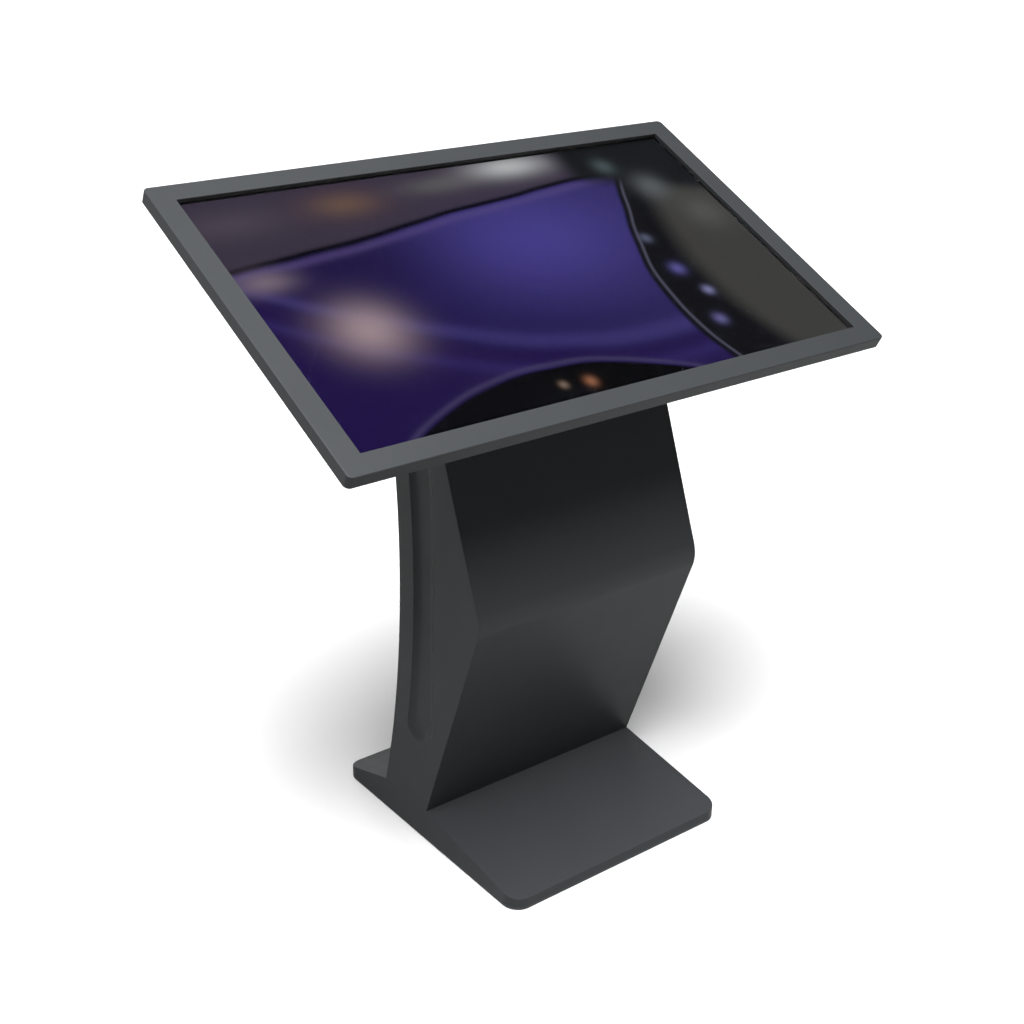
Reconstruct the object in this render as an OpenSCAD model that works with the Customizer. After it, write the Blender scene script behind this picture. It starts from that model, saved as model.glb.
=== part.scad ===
// Touchscreen kiosk: a tilted landscape display head on a bent sheet-steel column with a wedge foot.
// Millimetres. X to the user's right, Y to the back, Z up. The origin is on the floor,
// under the centre of the foot.

/* [Display] */
// Width of the picture on the display panel
picture_w = 941; // [780:1:1130]
// Height of the picture on the display panel
picture_h = 529; // [440:1:636]
// Black border left between the picture and the bezel's opening
picture_border = 2; // [1:0.5:6]
// Width of the bezel's left and right rails
bezel_side = 38; // [30:1:46]
// Width of the bezel's top and bottom rails
bezel_end = 35.5; // [30:0.5:44]
// Height of the bezel's outer rim, square to the glass
rim_h = 20.4; // [18:0.1:26]
// Radius of the bezel's corners in plan
bezel_corner_r = 9; // [4:1:16]
// Thickness of the bezel's sheet
bezel_sheet = 1.5; // [1:0.1:2.5]
// Depth of the glass below the bezel's face
glass_recess = 7; // [5:0.5:10]
// Thickness of the toughened glass
glass_t = 4; // [3:0.5:6]
// Angle of the glass from level
head_tilt = 26.5; // [20:0.5:32]
// Height of the middle of the bezel's face above the floor
head_z = 938; // [860:1:1060]
// Distance of the middle of the bezel's face behind the foot's centre
head_y = 32.5; // [20:0.5:45]

/* [Rear box] */
// Gap between the bezel's edge and the rear box, on each side
box_inset = 45; // [36:1:60]
// Depth of the rear box behind the bezel's rim
box_depth = 44.6; // [40:0.1:60]
// Thickness of the rear box's sheet
box_sheet = 1.5; // [1:0.1:2]
// Radius of the fans' openings
fan_r = 37; // [30:1:40]

/* [Column] */
// Width of the column and of the foot
column_w = 448; // [380:1:540]
// Distance of the column's front face behind the foot's centre, where it meets the foot
foot_front_y = -4.5; // [-15:0.5:5]
// Distance of the knee's sharp corner behind the foot's centre
knee_y = -140.7; // [-155:0.1:-120]
// Height of the knee above the floor
knee_z = 456.5; // [420:0.5:500]
// Lean of the front face above the knee, from upright
upper_lean = 21; // [18:0.5:23]
// Outer bend radius at the knee
knee_r = 60; // [30:1:80]
// Distance of the waist of the curved back behind the foot's centre
waist_y = 70; // [62:0.5:80]
// Height of the waist of the curved back
waist_z = 445; // [420:1:470]
// Radius of the curved back
back_r = 1720; // [1500:10:2000]
// Thickness of the side panels' sheet
side_sheet = 2.5; // [1.5:0.1:3]
// Thickness of the front skin and the back panels
skin_sheet = 2; // [1.2:0.1:2.5]

/* [Flutes in the side panels] */
// Depth of each flute
flute_depth = 7; // [4:0.5:9]
// Distance of the flute's rear edge from the curved back
flute_margin = 38.3; // [30:0.1:50]
// Distance of the flute's front edge behind the foot's centre
flute_front_y = -24.5; // [-40:0.5:-10]
// Height of the flute's lower end
flute_low_z = 183.5; // [150:0.5:260]
// Width of the slope that rises from the flute's floor to its front edge
flute_slope = 36; // [20:1:40]

/* [Service door] */
// Height of the door's lower edge
door_low_z = 245; // [200:1:280]
// Height of the door
door_h = 400; // [320:1:440]
// Gap around the door
door_gap = 1.5; // [1:0.1:3]
// Radius of the hinge pins
hinge_pin_r = 2; // [1.5:0.1:2.4]
// Outer radius of the hinge knuckles
knuckle_r = 4; // [3.3:0.1:4.8]

/* [Foot] */
// Length of the foot, front to back
foot_l = 479; // [440:1:575]
// Radius of the foot's corners in plan
foot_corner_r = 29; // [15:1:40]
// Height of the rubber pads below the foot plate
pad_h = 1.5; // [1:0.1:3]
// Thickness of the foot plate
plate_t = 3.5; // [3:0.5:6]
// Height of the cover's front edge above the foot plate
front_edge_h = 15.5; // [10:0.5:20]
// Height of the cover's back edge above the foot plate
back_edge_h = 12; // [8:0.5:18]
// Height of the cover's flat top above the foot plate
cover_h = 52.5; // [40:0.5:64]
// Thickness of the cover's sheet
cover_sheet = 2; // [1.2:0.1:3]
// Radius of the cable hole in the foot plate
cable_hole_r = 22; // [15:0.5:28]
// Radius of the floor anchor holes
anchor_hole_r = 6.5; // [4:0.5:8]
// Distance between the anchor holes across the foot
anchor_x = 384; // [300:1:400]
// Distance between the anchor holes from front to back
anchor_y = 408; // [360:1:420]

/* [Hidden] */

$fn = 48;
over = 1;          // how far a cutter passes the face it cuts
fit = 0.3;         // clearance between neighbouring pieces of different bodies
seat = 0.15;       // clearance of a piece that drops into a hole in its own body
pin_fit = 0.05;    // radial running clearance of a pin in its bore

// Head, in its own frame: x across, y up the slope, z out of the glass
opening_w = picture_w + 2 * picture_border;
opening_h = picture_h + 2 * picture_border;
bezel_w = opening_w + 2 * bezel_side;
bezel_h = opening_h + 2 * bezel_end;
box_w = bezel_w - 2 * box_inset;
box_h = bezel_h - 2 * box_inset;
head_t = rim_h + box_depth;
glass_lap = 15;
glass_back = glass_recess + glass_t;
gasket_t = 1;
panel_t = 3;
panel_lap = 6;
panel_front = glass_back + gasket_t;
tray_lap = 10;
tray_edge = 2;
tray_front = panel_front + panel_t;
tray_back = tray_front + 15;
tray_sheet = 1.2;
tray_inset = 28;
box_inside = head_t - box_sheet;
box_corner_r = 14;

// Panel brackets, cover screws and their bosses, in the space between the glass and the rim
bracket_t = 1.5;
bracket_size = [24, 44];
boss_r = 4;
boss_hole_r = 1.5;
edge_x = bezel_w / 2 - (bezel_side - glass_lap + bezel_sheet) / 2;
edge_y = bezel_h / 2 - (bezel_end - glass_lap + bezel_sheet) / 2;
bracket_at = [for (x = [-1, 1], y = [-1, 1]) [x * edge_x, y * bezel_h / 5]];
cover_screw_at = concat(
    [for (x = [-1, 1], y = [-2, 0, 2]) [x * edge_x, y * bezel_h / 5]],
    [for (x = [-3, -1, 1, 3], y = [-1, 1]) [x * bezel_w / 8, y * edge_y]]);

// Mounting frame in the rear box
rail_w = 40;
rail_t = box_inside - tray_back;
rail_sheet = 2;
rail_x = 150;
cross_w = 30;
cross_at = [-60, 95];

// Fans, set clear of the column's sides
fan_size = 80;
fan_t = 20;
fan_bore_r = 38;
fan_clear = 1;
fan_at = [column_w / 2 + fan_size / 2 + fan_clear, 115];
rotor_r = 36;
rotor_hub_r = 15;
rotor_shaft_r = 2;
blade_count = 7;
guard_wire = 1.6;

// Speakers, boards, ports and keys
speaker_size = [150, 56, 24];
speaker_at = [315, -170];
cone_r = 22;
slot_h = 4;
slot_pitch = 9;
board_size = [230, 120, 1.6];
board_at = [0, -150];
standoff_h = 6;
supply_size = [190, 90, 24];
supply_at = [0, 175];
port_size = [150, 34];
port_at = [-300, 20];
key_r = 4;
key_x = 330;
key_pitch = 18;
key_travel = 1.2;
key_proud = 2.2;
key_flange_r = 5.5;
key_z = -(rim_h + box_depth / 2);

// Foot
pad_r = 16;
pad_x = 150;
foot_screw_r = 3;
foot_screw_x = 200;
foot_screw_y = 165;
foot_post_r = 7;
foot_boss_h = 16;
foot_opening_margin = 12;
foot_opening_w = column_w - 52;
cable_hole_y = 58;

// Column outline
plate_top = pad_h + plate_t;
cover_top = plate_top + cover_h;
lower_lean = atan((foot_front_y - knee_y) / (knee_z - cover_top));
knee_half = (180 - lower_lean - upper_lean) / 2;
knee_turn = (upper_lean - lower_lean) / 2;
back_centre = [waist_y + back_r, waist_z];
knee_steps = 12;
column_rear_y = waist_y + 120;
top_rise = tan(head_tilt);
top_at_0 = head_z - head_t / cos(head_tilt) - head_y * top_rise;
inside_w = column_w - 2 * side_sheet;
heel_y = back_y(cover_top);
neck_rear_y = back_y(top_z(back_y(head_z)));

// Flutes
flute_end_front = 44;    // from the flute's front edge to its lowest point
flute_end_rear = 30;     // from its lowest point to its rear edge
flute_end_tall = 68;     // height over which the front of its end rounds off
flute_end_short = 27;    // height over which the rear of its end rounds off
flute_scoop = 38;        // height of the slope at its lower end
flute_step = 4;          // width of the steep side at its rear edge
flute_blunt = 0.8;       // height of its rounded tip left flat
flute_bend = 14;         // how gently its front edge bends back below the neck

// Stop flanges behind the door and the back panels, and weld flanges behind the front skin
gasket_gap = 3;
stop_in = skin_sheet + gasket_gap;
stop_sheet = 2;
stop_w = 26;
weld_w = 15;
weld_sheet = 1.5;

// Frame inside the column
upright = 30;
upright_sheet = 2;
upright_x = inside_w / 2 - 50;
upright_y = 32;
bar_h = 20;
shelf_z = 250;
shelf_w = 240;
shelf_l = 100;
shelf_lip = 12;
shelf_sheet = 1.5;
bar_z = [100, shelf_z - bar_h, 700];
player_size = [210, 76, 42];
strip_size = [180, 26, 34];
duct_size = [30, 24];

// Neck
neck_t = 6;
neck_margin = 16;
neck_slot = [100, 40];
neck_bolt_r = 4;
neck_bolt_y = 34;
neck_w = column_w - 2 * (side_sheet + flute_depth);

// Hinges and lock
door_high_z = door_low_z + door_h;
door_w = inside_w - 2 * door_gap;
knuckle_l = 14;
hinge_leaf = 1.5;
leaf_w = 30;
leaf_l = 34;
hinge_x = -door_w / 2;
hinge_y = max(back_y(door_low_z - door_gap - knuckle_l), back_y(door_high_z + door_gap + knuckle_l))
    + knuckle_r + fit;
lock_r = 9;
lock_x = inside_w / 2 - stop_w - lock_r - 6;
lock_z = waist_z;
lock_face_r = 11.5;
lock_face_t = 2.5;
cam_t = 2.5;
cam_w = 14;
cam_reach = inside_w / 2 - 8 - lock_x;
cam_y = back_y(lock_z) - stop_in - stop_sheet - fit - cam_t;

// Power inlet
inlet_x = 110;
inlet_z = cover_top + 62;
inlet_size = [62, 28];
inlet_depth = 24;
inlet_rim = 4;
socket_size = [27, 19];
rocker_size = [13, 19];
rocker_x = 18;
rocker_swing = 14;
rocker_pivot = 3;
rocker_axle_r = 1.2;
rocker_axle_end = 1.5;

// Height in the head's frame, measured up the slope, of a point y on the neck's plane
function neck_v(y) = (y - head_y - head_t * sin(head_tilt)) / cos(head_tilt);
function back_y(z) = back_centre[0] - sqrt(pow(back_r, 2) - pow(z - back_centre[1], 2));
function lower_front_y(z, s) = foot_front_y - (z - cover_top) * tan(lower_lean) + s / cos(lower_lean);
function knee_bisector() = [cos(knee_turn), -sin(knee_turn)];
function knee_corner(s) = [knee_y, knee_z] + knee_bisector() * s / sin(knee_half);
function knee_centre() = knee_corner(knee_r);
function top_z(y) = top_at_0 + y * top_rise;
function upper_front_top(s, rise) =
    let(k = knee_corner(s),
        z = (top_at_0 + rise + top_rise * (k[0] - k[1] * tan(upper_lean)))
            / (1 - top_rise * tan(upper_lean)))
    [k[0] + (z - k[1]) * tan(upper_lean), z];

// ---- Shapes used by several pieces ----

// A box with its lower corner at `at`.
module block(at, size) {
    translate(at) cube(size);
}

// A box centred in x and y, standing on z = low.
module slab(centre, size, low) {
    translate([centre[0] - size[0] / 2, centre[1] - size[1] / 2, low]) cube([size[0], size[1], size[2]]);
}

// A plate with rounded corners, between two heights.
module round_plate(w, l, r, low, high) {
    translate([0, 0, low]) linear_extrude(high - low) {
        square([w - 2 * r, l], center = true);
        square([w, l - 2 * r], center = true);
        for (x = [-1, 1], y = [-1, 1]) translate([x * (w / 2 - r), y * (l / 2 - r)]) circle(r);
    }
}

// Extrudes a side outline, drawn as [y, z], along x.
module across(x_low, width) {
    translate([x_low, 0, 0]) rotate([90, 0, 90]) linear_extrude(width) children();
}

module on_head() {
    translate([0, head_y, head_z]) rotate([head_tilt, 0, 0]) children();
}

module mirrored() {
    children();
    mirror([1, 0, 0]) children();
}

// A screw with a round head, standing on z = 0 with its shank below.
module screw(shank_r, head_r, head_h, length) {
    cylinder(r = head_r, h = head_h, $fn = 24);
    translate([0, 0, -length]) cylinder(r = shank_r, h = length + head_h / 2, $fn = 24);
}

// The column's side outline. `front` and `back` set the faces in, and `grow` lengthens both ends.
module column_outline(front, back, grow = 0) {
    low = cover_top - grow;
    difference() {
        polygon(concat(
            [[lower_front_y(low, front), low]],
            [for (i = [0:knee_steps])
                let(a = 180 + lower_lean - i / knee_steps * (lower_lean + upper_lean))
                knee_centre() + (knee_r - front) * [cos(a), sin(a)]],
            [upper_front_top(front, grow),
                [column_rear_y, top_z(column_rear_y) + grow],
                [column_rear_y, low]]));
        translate(back_centre) circle(r = back_r + back, $fn = 360);
    }
}

// A strip of the outline along the curved back, from `outer` to `inner` below the surface.
module back_band(outer, inner) {
    intersection() {
        column_outline(0, outer);
        translate(back_centre) circle(r = back_r + inner, $fn = 360);
    }
}

// A strip of the outline along the bent front.
module front_band(outer, inner) {
    difference() {
        column_outline(outer, stop_in);
        column_outline(inner, -over, over);
    }
}

module height_band(low, high) {
    translate([-column_rear_y * 2, low]) square([column_rear_y * 4, high - low]);
}

// ---- Foot ----

module foot_outline(lower = 0) {
    half = foot_l / 2;
    polygon([
        [-half, plate_top - lower * 2],
        [half, plate_top - lower * 2],
        [half, plate_top + back_edge_h - lower],
        [heel_y, cover_top - lower],
        [foot_front_y, cover_top - lower],
        [-half, plate_top + front_edge_h - lower]
    ]);
}

module foot_pads() {
    color([0.05, 0.05, 0.05])
        for (x = [-1:1], y = [-1:1])
            translate([x * pad_x, y * (foot_l / 2 - foot_corner_r - pad_r), 0])
                cylinder(r = pad_r, h = pad_h);
}

module anchor_places() {
    for (x = [-1, 1], y = [-1, 1]) translate([x * anchor_x / 2, y * anchor_y / 2, 0]) children();
}

module foot_screw_places() {
    for (x = [-1, 1], y = [-1, 1]) translate([x * foot_screw_x, y * foot_screw_y, 0]) children();
}

module foot_plate() {
    color([0.2, 0.2, 0.21]) difference() {
        round_plate(column_w, foot_l, foot_corner_r, pad_h, plate_top);
        translate([0, cable_hole_y, 0]) cylinder(r = cable_hole_r, h = plate_top + over);
        anchor_places() cylinder(r = anchor_hole_r, h = plate_top + over);
        foot_screw_places() cylinder(r = foot_screw_r + seat, h = plate_top + over, $fn = 24);
    }
}

module foot_ballast() {
    ballast_w = anchor_x - 2 * 30;
    ballast_h = 8;
    front_l = 150;
    back_l = 60;
    color([0.25, 0.25, 0.25]) {
        block([-ballast_w / 2, -foot_l / 2 + 40, plate_top], [ballast_w, front_l, ballast_h]);
        block([-ballast_w / 2, foot_l / 2 - 40 - back_l, plate_top], [ballast_w, back_l, ballast_h / 2]);
    }
}

module foot_cover() {
    color([0.13, 0.135, 0.14]) difference() {
        union() {
            difference() {
                intersection() {
                    across(-column_w / 2, column_w) foot_outline();
                    round_plate(column_w, foot_l, foot_corner_r, plate_top, cover_top);
                }
                intersection() {
                    across(-column_w / 2, column_w) foot_outline(cover_sheet);
                    round_plate(column_w - 2 * cover_sheet, foot_l - 2 * cover_sheet,
                        foot_corner_r - cover_sheet, plate_top - over, cover_top - cover_sheet);
                }
            }
            intersection() {
                across(-column_w / 2, column_w) foot_outline();
                foot_screw_places() translate([0, 0, plate_top])
                    cylinder(r = foot_post_r, h = cover_h, $fn = 24);
            }
        }
        slab([0, (foot_front_y + heel_y) / 2],
            [foot_opening_w, heel_y - foot_front_y - 2 * foot_opening_margin, cover_sheet + 2 * over],
            cover_top - cover_sheet - over);
        foot_screw_places() cylinder(r = foot_screw_r, h = plate_top + foot_boss_h - 2, $fn = 24);
    }
}

module foot_screws() {
    color([0.55, 0.55, 0.56]) foot_screw_places() translate([0, 0, pad_h])
        cylinder(r = foot_screw_r, h = plate_t + foot_boss_h - 3, $fn = 24);
}

module cable_grommet() {
    lip = 3;
    color([0.05, 0.05, 0.05]) translate([0, cable_hole_y, 0]) difference() {
        union() {
            translate([0, 0, pad_h]) cylinder(r = cable_hole_r, h = plate_t);
            translate([0, 0, plate_top]) cylinder(r = cable_hole_r + lip, h = 2);
        }
        cylinder(r = cable_hole_r - lip, h = plate_top + 3);
    }
}

// ---- Flutes ----

// How far the flute has sunk a distance `d` inside its edge, with a slope `w` wide.
function sink(d, w) = d >= w ? 1 : d <= 0 ? 0 : 1 - pow(1 - d / w, 2);
// The flute's lower outline: a short quarter ellipse at the rear, a long one at the front.
function flute_low(y) =
    let(mid = flute_front_y + flute_end_front,
        u = y < mid ? (mid - y) / flute_end_front : (y - mid) / flute_end_rear)
    flute_low_z + (y < mid ? flute_end_tall : flute_end_short) * (1 - sqrt(max(0, 1 - u * u)));
function flute_rear(z) = back_y(z) - flute_margin;
// The flute's front edge: upright, then bending back to keep clear of the leaning front face.
function flute_front(z) =
    let(lead = knee_y + (z - knee_z) * tan(upper_lean) + flute_margin - flute_front_y)
    flute_front_y + (lead + sqrt(lead * lead + pow(flute_bend, 2))) / 2;
// The flute's rear edge at the height z, with the lower end's outline taken in.
function flute_edge(z, tall, reach) =
    z >= flute_low_z + tall ? 1 : sqrt(max(0, 1 - pow(1 - (z - flute_low_z) / tall, 2)));
function flute_y(z, u) =
    let(mid = flute_front_y + flute_end_front,
        front = z < flute_low_z + flute_end_tall
            ? mid - flute_end_front * flute_edge(z, flute_end_tall) : flute_front(z),
        rear = z < flute_low_z + flute_end_short
            ? mid + (flute_rear(z) - mid) * flute_edge(z, flute_end_short) : flute_rear(z))
    front + u * (rear - front);
function flute_sink(y, z) =
    flute_depth * sink(y - flute_front(z), min(flute_slope, flute_rear(z) - flute_front(z)))
    * sink(flute_rear(z) - y, flute_step) * sink(z - flute_low(y), flute_scoop);

// Heights of the rows of points up the flute: close together round its lower end, and the last
// ones along the column's slanted top.
function flute_rows(u) =
    let(bend = flute_low_z + flute_end_tall,
        top = top_z(flute_y(top_z(flute_front_y), u)))
    concat([for (i = [0:9]) flute_low_z + flute_blunt + (flute_end_tall - flute_blunt) * pow(i / 9, 2)],
        [for (i = [1:12]) bend + (top - bend) * i / 12]);

// The panel's cut-out, which the flute's pan fills.
module flute_outline() {
    front = flute_rows(0);
    rear = flute_rows(1);
    rows = len(front);
    polygon(concat([for (z = front) [flute_y(z, 0), z]],
        [[flute_y(rear[rows - 1] + over, 0), top_z(flute_y(front[rows - 1], 0)) + 3 * over],
            [flute_y(rear[rows - 1], 1), rear[rows - 1] + 3 * over]],
        [for (i = [rows - 1:-1:0]) [flute_y(rear[i], 1), rear[i]]]));
}

// One flute's pressed pan: a grid of points on the hollow face, and a flat back.
module flute_pan() {
    left = -column_w / 2;
    floor_x = left + side_sheet + flute_depth;
    us = [0, 0.08, 0.17, 0.28, 0.4, 0.52, 0.66, 0.8, 0.9, 0.95, 0.975, 1];
    columns = [for (u = us) flute_rows(u)];
    n = len(us);
    rows = len(columns[0]);
    ring = 2 * n;
    points = [for (i = [0:rows - 1]) each concat(
        [for (j = [0:n - 1]) let(z = columns[j][i], y = flute_y(z, us[j])) [left + flute_sink(y, z), y, z]],
        [for (j = [n - 1:-1:0]) let(z = columns[j][i]) [floor_x, flute_y(z, us[j]), z]])];
    sides = [for (i = [0:rows - 2], j = [0:ring - 1])
        let(a = i * ring + j, b = i * ring + (j + 1) % ring)
        each [[a, b + ring, b], [a, a + ring, b + ring]]];
    top = (rows - 1) * ring;
    low_end = [for (j = [0:n - 2]) each [[j, j + 1, ring - 2 - j], [j, ring - 2 - j, ring - 1 - j]]];
    high_end = [for (f = low_end) [top + f[0], top + f[2], top + f[1]]];
    polyhedron(points = points, faces = concat(low_end, sides, high_end));
}

// ---- Column ----

module side_panel() {
    difference() {
        across(-column_w / 2, side_sheet) column_outline(0, 0);
        across(-column_w / 2 - over, side_sheet + 2 * over) flute_outline();
    }
}

module flute_pan_left() {
    color([0.17, 0.175, 0.18]) flute_pan();
}

module flute_pan_right() {
    color([0.17, 0.175, 0.18]) mirror([1, 0, 0]) flute_pan();
}

module side_panel_left() {
    color([0.17, 0.175, 0.18]) side_panel();
}

module side_panel_right() {
    color([0.17, 0.175, 0.18]) mirror([1, 0, 0]) side_panel();
}

module stop_flanges() {
    color([0.17, 0.175, 0.18]) mirrored()
        across(-inside_w / 2, stop_w) back_band(stop_in, stop_in + stop_sheet);
}

module weld_flanges() {
    color([0.17, 0.175, 0.18]) mirrored()
        across(-inside_w / 2, weld_w) front_band(skin_sheet, skin_sheet + weld_sheet);
}

module front_skin() {
    color([0.12, 0.125, 0.13]) across(-inside_w / 2, inside_w) front_band(0, skin_sheet);
}

// Stands a child on the curved back at the height z, with its y pointing straight out.
module on_back(z) {
    translate([0, back_y(z), z]) rotate([asin((waist_z - z) / back_r), 0, 0]) children();
}

module back_panel_upper() {
    vent_w = 70;
    vent_rows = 6;
    vent_low = door_high_z + 70;
    color([0.15, 0.155, 0.16]) difference() {
        across(-inside_w / 2, inside_w) intersection() {
            back_band(0, skin_sheet);
            height_band(door_high_z + door_gap, head_z * 2);
        }
        for (x = [-1, 1], i = [0:vent_rows - 1])
            translate([x * (vent_w / 2 + 10), 0, vent_low + i * 2 * slot_pitch])
                rotate([-90, 0, 0]) linear_extrude(column_rear_y) {
                    square([vent_w - slot_h, slot_h], center = true);
                    for (e = [-1, 1]) translate([e * (vent_w - slot_h) / 2, 0]) circle(d = slot_h, $fn = 24);
                }
    }
}

module back_panel_lower() {
    color([0.15, 0.155, 0.16]) difference() {
        across(-inside_w / 2, inside_w) intersection() {
            back_band(0, skin_sheet);
            height_band(0, door_low_z - door_gap);
        }
        on_back(inlet_z) translate([inlet_x, 0, 0])
            cube([inlet_size[0] - 2 * inlet_rim, 4 * skin_sheet, inlet_size[1] - 2 * inlet_rim],
                center = true);
    }
}

module below_neck() {
    difference() {
        children();
        on_head() translate([-column_w, -bezel_h, -head_t - neck_t])
            cube([2 * column_w, 2 * bezel_h, head_z]);
    }
}

module square_tube(at, length) {
    difference() {
        block(at, [upright, upright, length]);
        block(at + [upright_sheet, upright_sheet, -over],
            [upright - 2 * upright_sheet, upright - 2 * upright_sheet, length + 2 * over]);
    }
}

module frame_uprights() {
    color([0.3, 0.3, 0.31]) below_neck() mirrored()
        square_tube([upright_x - upright / 2, upright_y - upright / 2, plate_top], head_z);
}

module frame_crossbars() {
    half = upright_x - upright / 2;
    color([0.3, 0.3, 0.31]) for (z = bar_z) difference() {
        block([-half, upright_y - upright / 2, z], [2 * half, upright, bar_h]);
        block([-half - over, upright_y - upright / 2 + upright_sheet, z + upright_sheet],
            [2 * half + 2 * over, upright - 2 * upright_sheet, bar_h - 2 * upright_sheet]);
    }
}

module equipment_shelf() {
    back = upright_y + upright / 2;
    color([0.35, 0.35, 0.36]) difference() {
        block([-shelf_w / 2, back - shelf_l, shelf_z], [shelf_w, shelf_l, shelf_lip]);
        block([-shelf_w / 2 + shelf_sheet, back - shelf_l + shelf_sheet, shelf_z + shelf_sheet],
            [shelf_w - 2 * shelf_sheet, shelf_l - 2 * shelf_sheet, shelf_lip]);
    }
}

module media_player() {
    pad_t = 3;
    bottom = shelf_z + shelf_sheet;
    middle = upright_y + upright / 2 - shelf_l / 2;
    color([0.08, 0.08, 0.09]) {
        slab([0, middle], player_size, bottom + pad_t);
        for (x = [-1, 1], y = [-1, 1])
            translate([x * (player_size[0] / 2 - 15), middle + y * (player_size[1] / 2 - 15), bottom])
                cylinder(r = 6, h = pad_t, $fn = 24);
        for (i = [-6:6])
            slab([i * 12, middle], [4, player_size[1] - 16, 1.5], bottom + pad_t + player_size[2]);
    }
}

module power_strip() {
    outlet_count = 3;
    outlet_r = 13;
    outlet_depth = 12;
    front = upright_y + upright / 2;
    low = bar_z[0] - 8;
    color([0.1, 0.1, 0.1]) difference() {
        block([-strip_size[0] + 40, front, low], strip_size);
        for (i = [0:outlet_count - 1])
            translate([i * 56 - 110, front + strip_size[1] - outlet_depth, low + strip_size[2] / 2])
                rotate([-90, 0, 0]) cylinder(r = outlet_r, h = outlet_depth + over, $fn = 32);
    }
}

module cable_duct() {
    half = upright_x - upright / 2;
    front = upright_y - upright / 2 - duct_size[1];
    wall = 1.5;
    low = cover_top + 30;
    length = bar_z[2] + bar_h - low;
    color([0.55, 0.55, 0.55]) difference() {
        block([-half, front, low], [duct_size[0], duct_size[1], length]);
        block([-half + wall, front + wall, low - over],
            [duct_size[0] - 2 * wall, duct_size[1] - 2 * wall, length + 2 * over]);
    }
}

module neck_plate() {
    front = neck_v(upper_front_top(0, 0)[0]) + neck_margin;
    rear = neck_v(neck_rear_y) - neck_margin;
    color([0.3, 0.3, 0.31]) on_head() difference() {
        block([-neck_w / 2, front, -head_t - neck_t], [neck_w, rear - front, neck_t]);
        slab([0, (front + rear) / 2], [neck_slot[0], neck_slot[1], neck_t + 2 * over],
            -head_t - neck_t - over);
        neck_bolt_places() translate([0, 0, -head_t - neck_t - over])
            cylinder(r = neck_bolt_r + seat, h = neck_t + 2 * over);
    }
}

module neck_bolt_places() {
    middle = (neck_v(upper_front_top(0, 0)[0]) + neck_v(neck_rear_y)) / 2;
    for (x = [-1, 1], y = [-1, 1]) translate([x * rail_x, middle + y * neck_bolt_y, 0]) children();
}

module neck_bolts() {
    head_h = 5;
    color([0.6, 0.6, 0.62]) on_head() neck_bolt_places() {
        translate([0, 0, -head_t - neck_t]) cylinder(r = neck_bolt_r, h = neck_t + 12, $fn = 24);
        translate([0, 0, -head_t - neck_t - head_h]) cylinder(r = 6.5, h = head_h, $fn = 6);
    }
}

// ---- Power inlet ----

module power_inlet() {
    body_in = inlet_rim + seat;
    axle_l = rocker_size[0] + 2 * (rocker_axle_end + seat);
    color([0.04, 0.04, 0.04]) on_back(inlet_z) translate([inlet_x, 0, 0]) difference() {
        union() {
            block([-inlet_size[0] / 2, 0.2, -inlet_size[1] / 2], [inlet_size[0], 2, inlet_size[1]]);
            block([-inlet_size[0] / 2 + body_in, -inlet_depth, -inlet_size[1] / 2 + body_in],
                [inlet_size[0] - 2 * body_in, inlet_depth + over, inlet_size[1] - 2 * body_in]);
        }
        block([-rocker_x - socket_size[0] / 2 + 6, -inlet_depth + 4, -socket_size[1] / 2],
            [socket_size[0], inlet_depth, socket_size[1]]);
        block([rocker_x - rocker_size[0] / 2 - fit, -inlet_depth + 4, -rocker_size[1] / 2 - 0.2],
            [rocker_size[0] + 2 * fit, inlet_depth, rocker_size[1] + 0.4]);
        translate([rocker_x - axle_l / 2, -rocker_pivot, 0]) rotate([0, 90, 0])
            cylinder(r = rocker_axle_r + pin_fit, h = axle_l, $fn = 24);
    }
}

module inlet_pins() {
    color([0.75, 0.75, 0.76]) on_back(inlet_z) translate([inlet_x - rocker_x + 6, 0, 0])
        for (p = [[-7, -2], [0, 3], [7, -2]])
            block([p[0] - 1, -inlet_depth + 4, p[1] - 2], [2, inlet_depth - 8, 4]);
}

// The rocker lies with its lower half pressed in, and swings about its own pivot.
module rocker_switch() {
    half = rocker_size[1] / 2 - 0.6;
    color([0.03, 0.03, 0.03]) on_back(inlet_z)
        translate([inlet_x + rocker_x - rocker_size[0] / 2, -rocker_pivot, 0])
            rotate([rocker_swing / 2, 0, 0])
            rotate([90, 0, 90]) {
                linear_extrude(rocker_size[0])
                    polygon([[-4, -half + 2], [rocker_pivot + 1.6, -half], [rocker_pivot + 0.6, 0],
                        [rocker_pivot + 1.6, half], [-4, half - 2]]);
                translate([0, 0, -rocker_axle_end])
                    cylinder(r = rocker_axle_r, h = rocker_size[0] + 2 * rocker_axle_end, $fn = 24);
            }
}

// ---- Service door ----

// A strip outside the curved back, `thick` deep, between two heights.
module outer_band(thick, low, high) {
    intersection() {
        translate([0, low]) square([column_rear_y, high - low]);
        difference() {
            translate(back_centre) circle(r = back_r, $fn = 360);
            translate(back_centre) circle(r = back_r - thick, $fn = 360);
        }
    }
}

module outside_column(low, high) {
    intersection() {
        translate([0, low]) square([hinge_y, high - low]);
        translate(back_centre) circle(r = back_r, $fn = 360);
    }
}

// The door's pieces are drawn with their hinges on the left, and turned over to hang on the right.
module hung_right() {
    mirror([1, 0, 0]) children();
}

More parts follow.
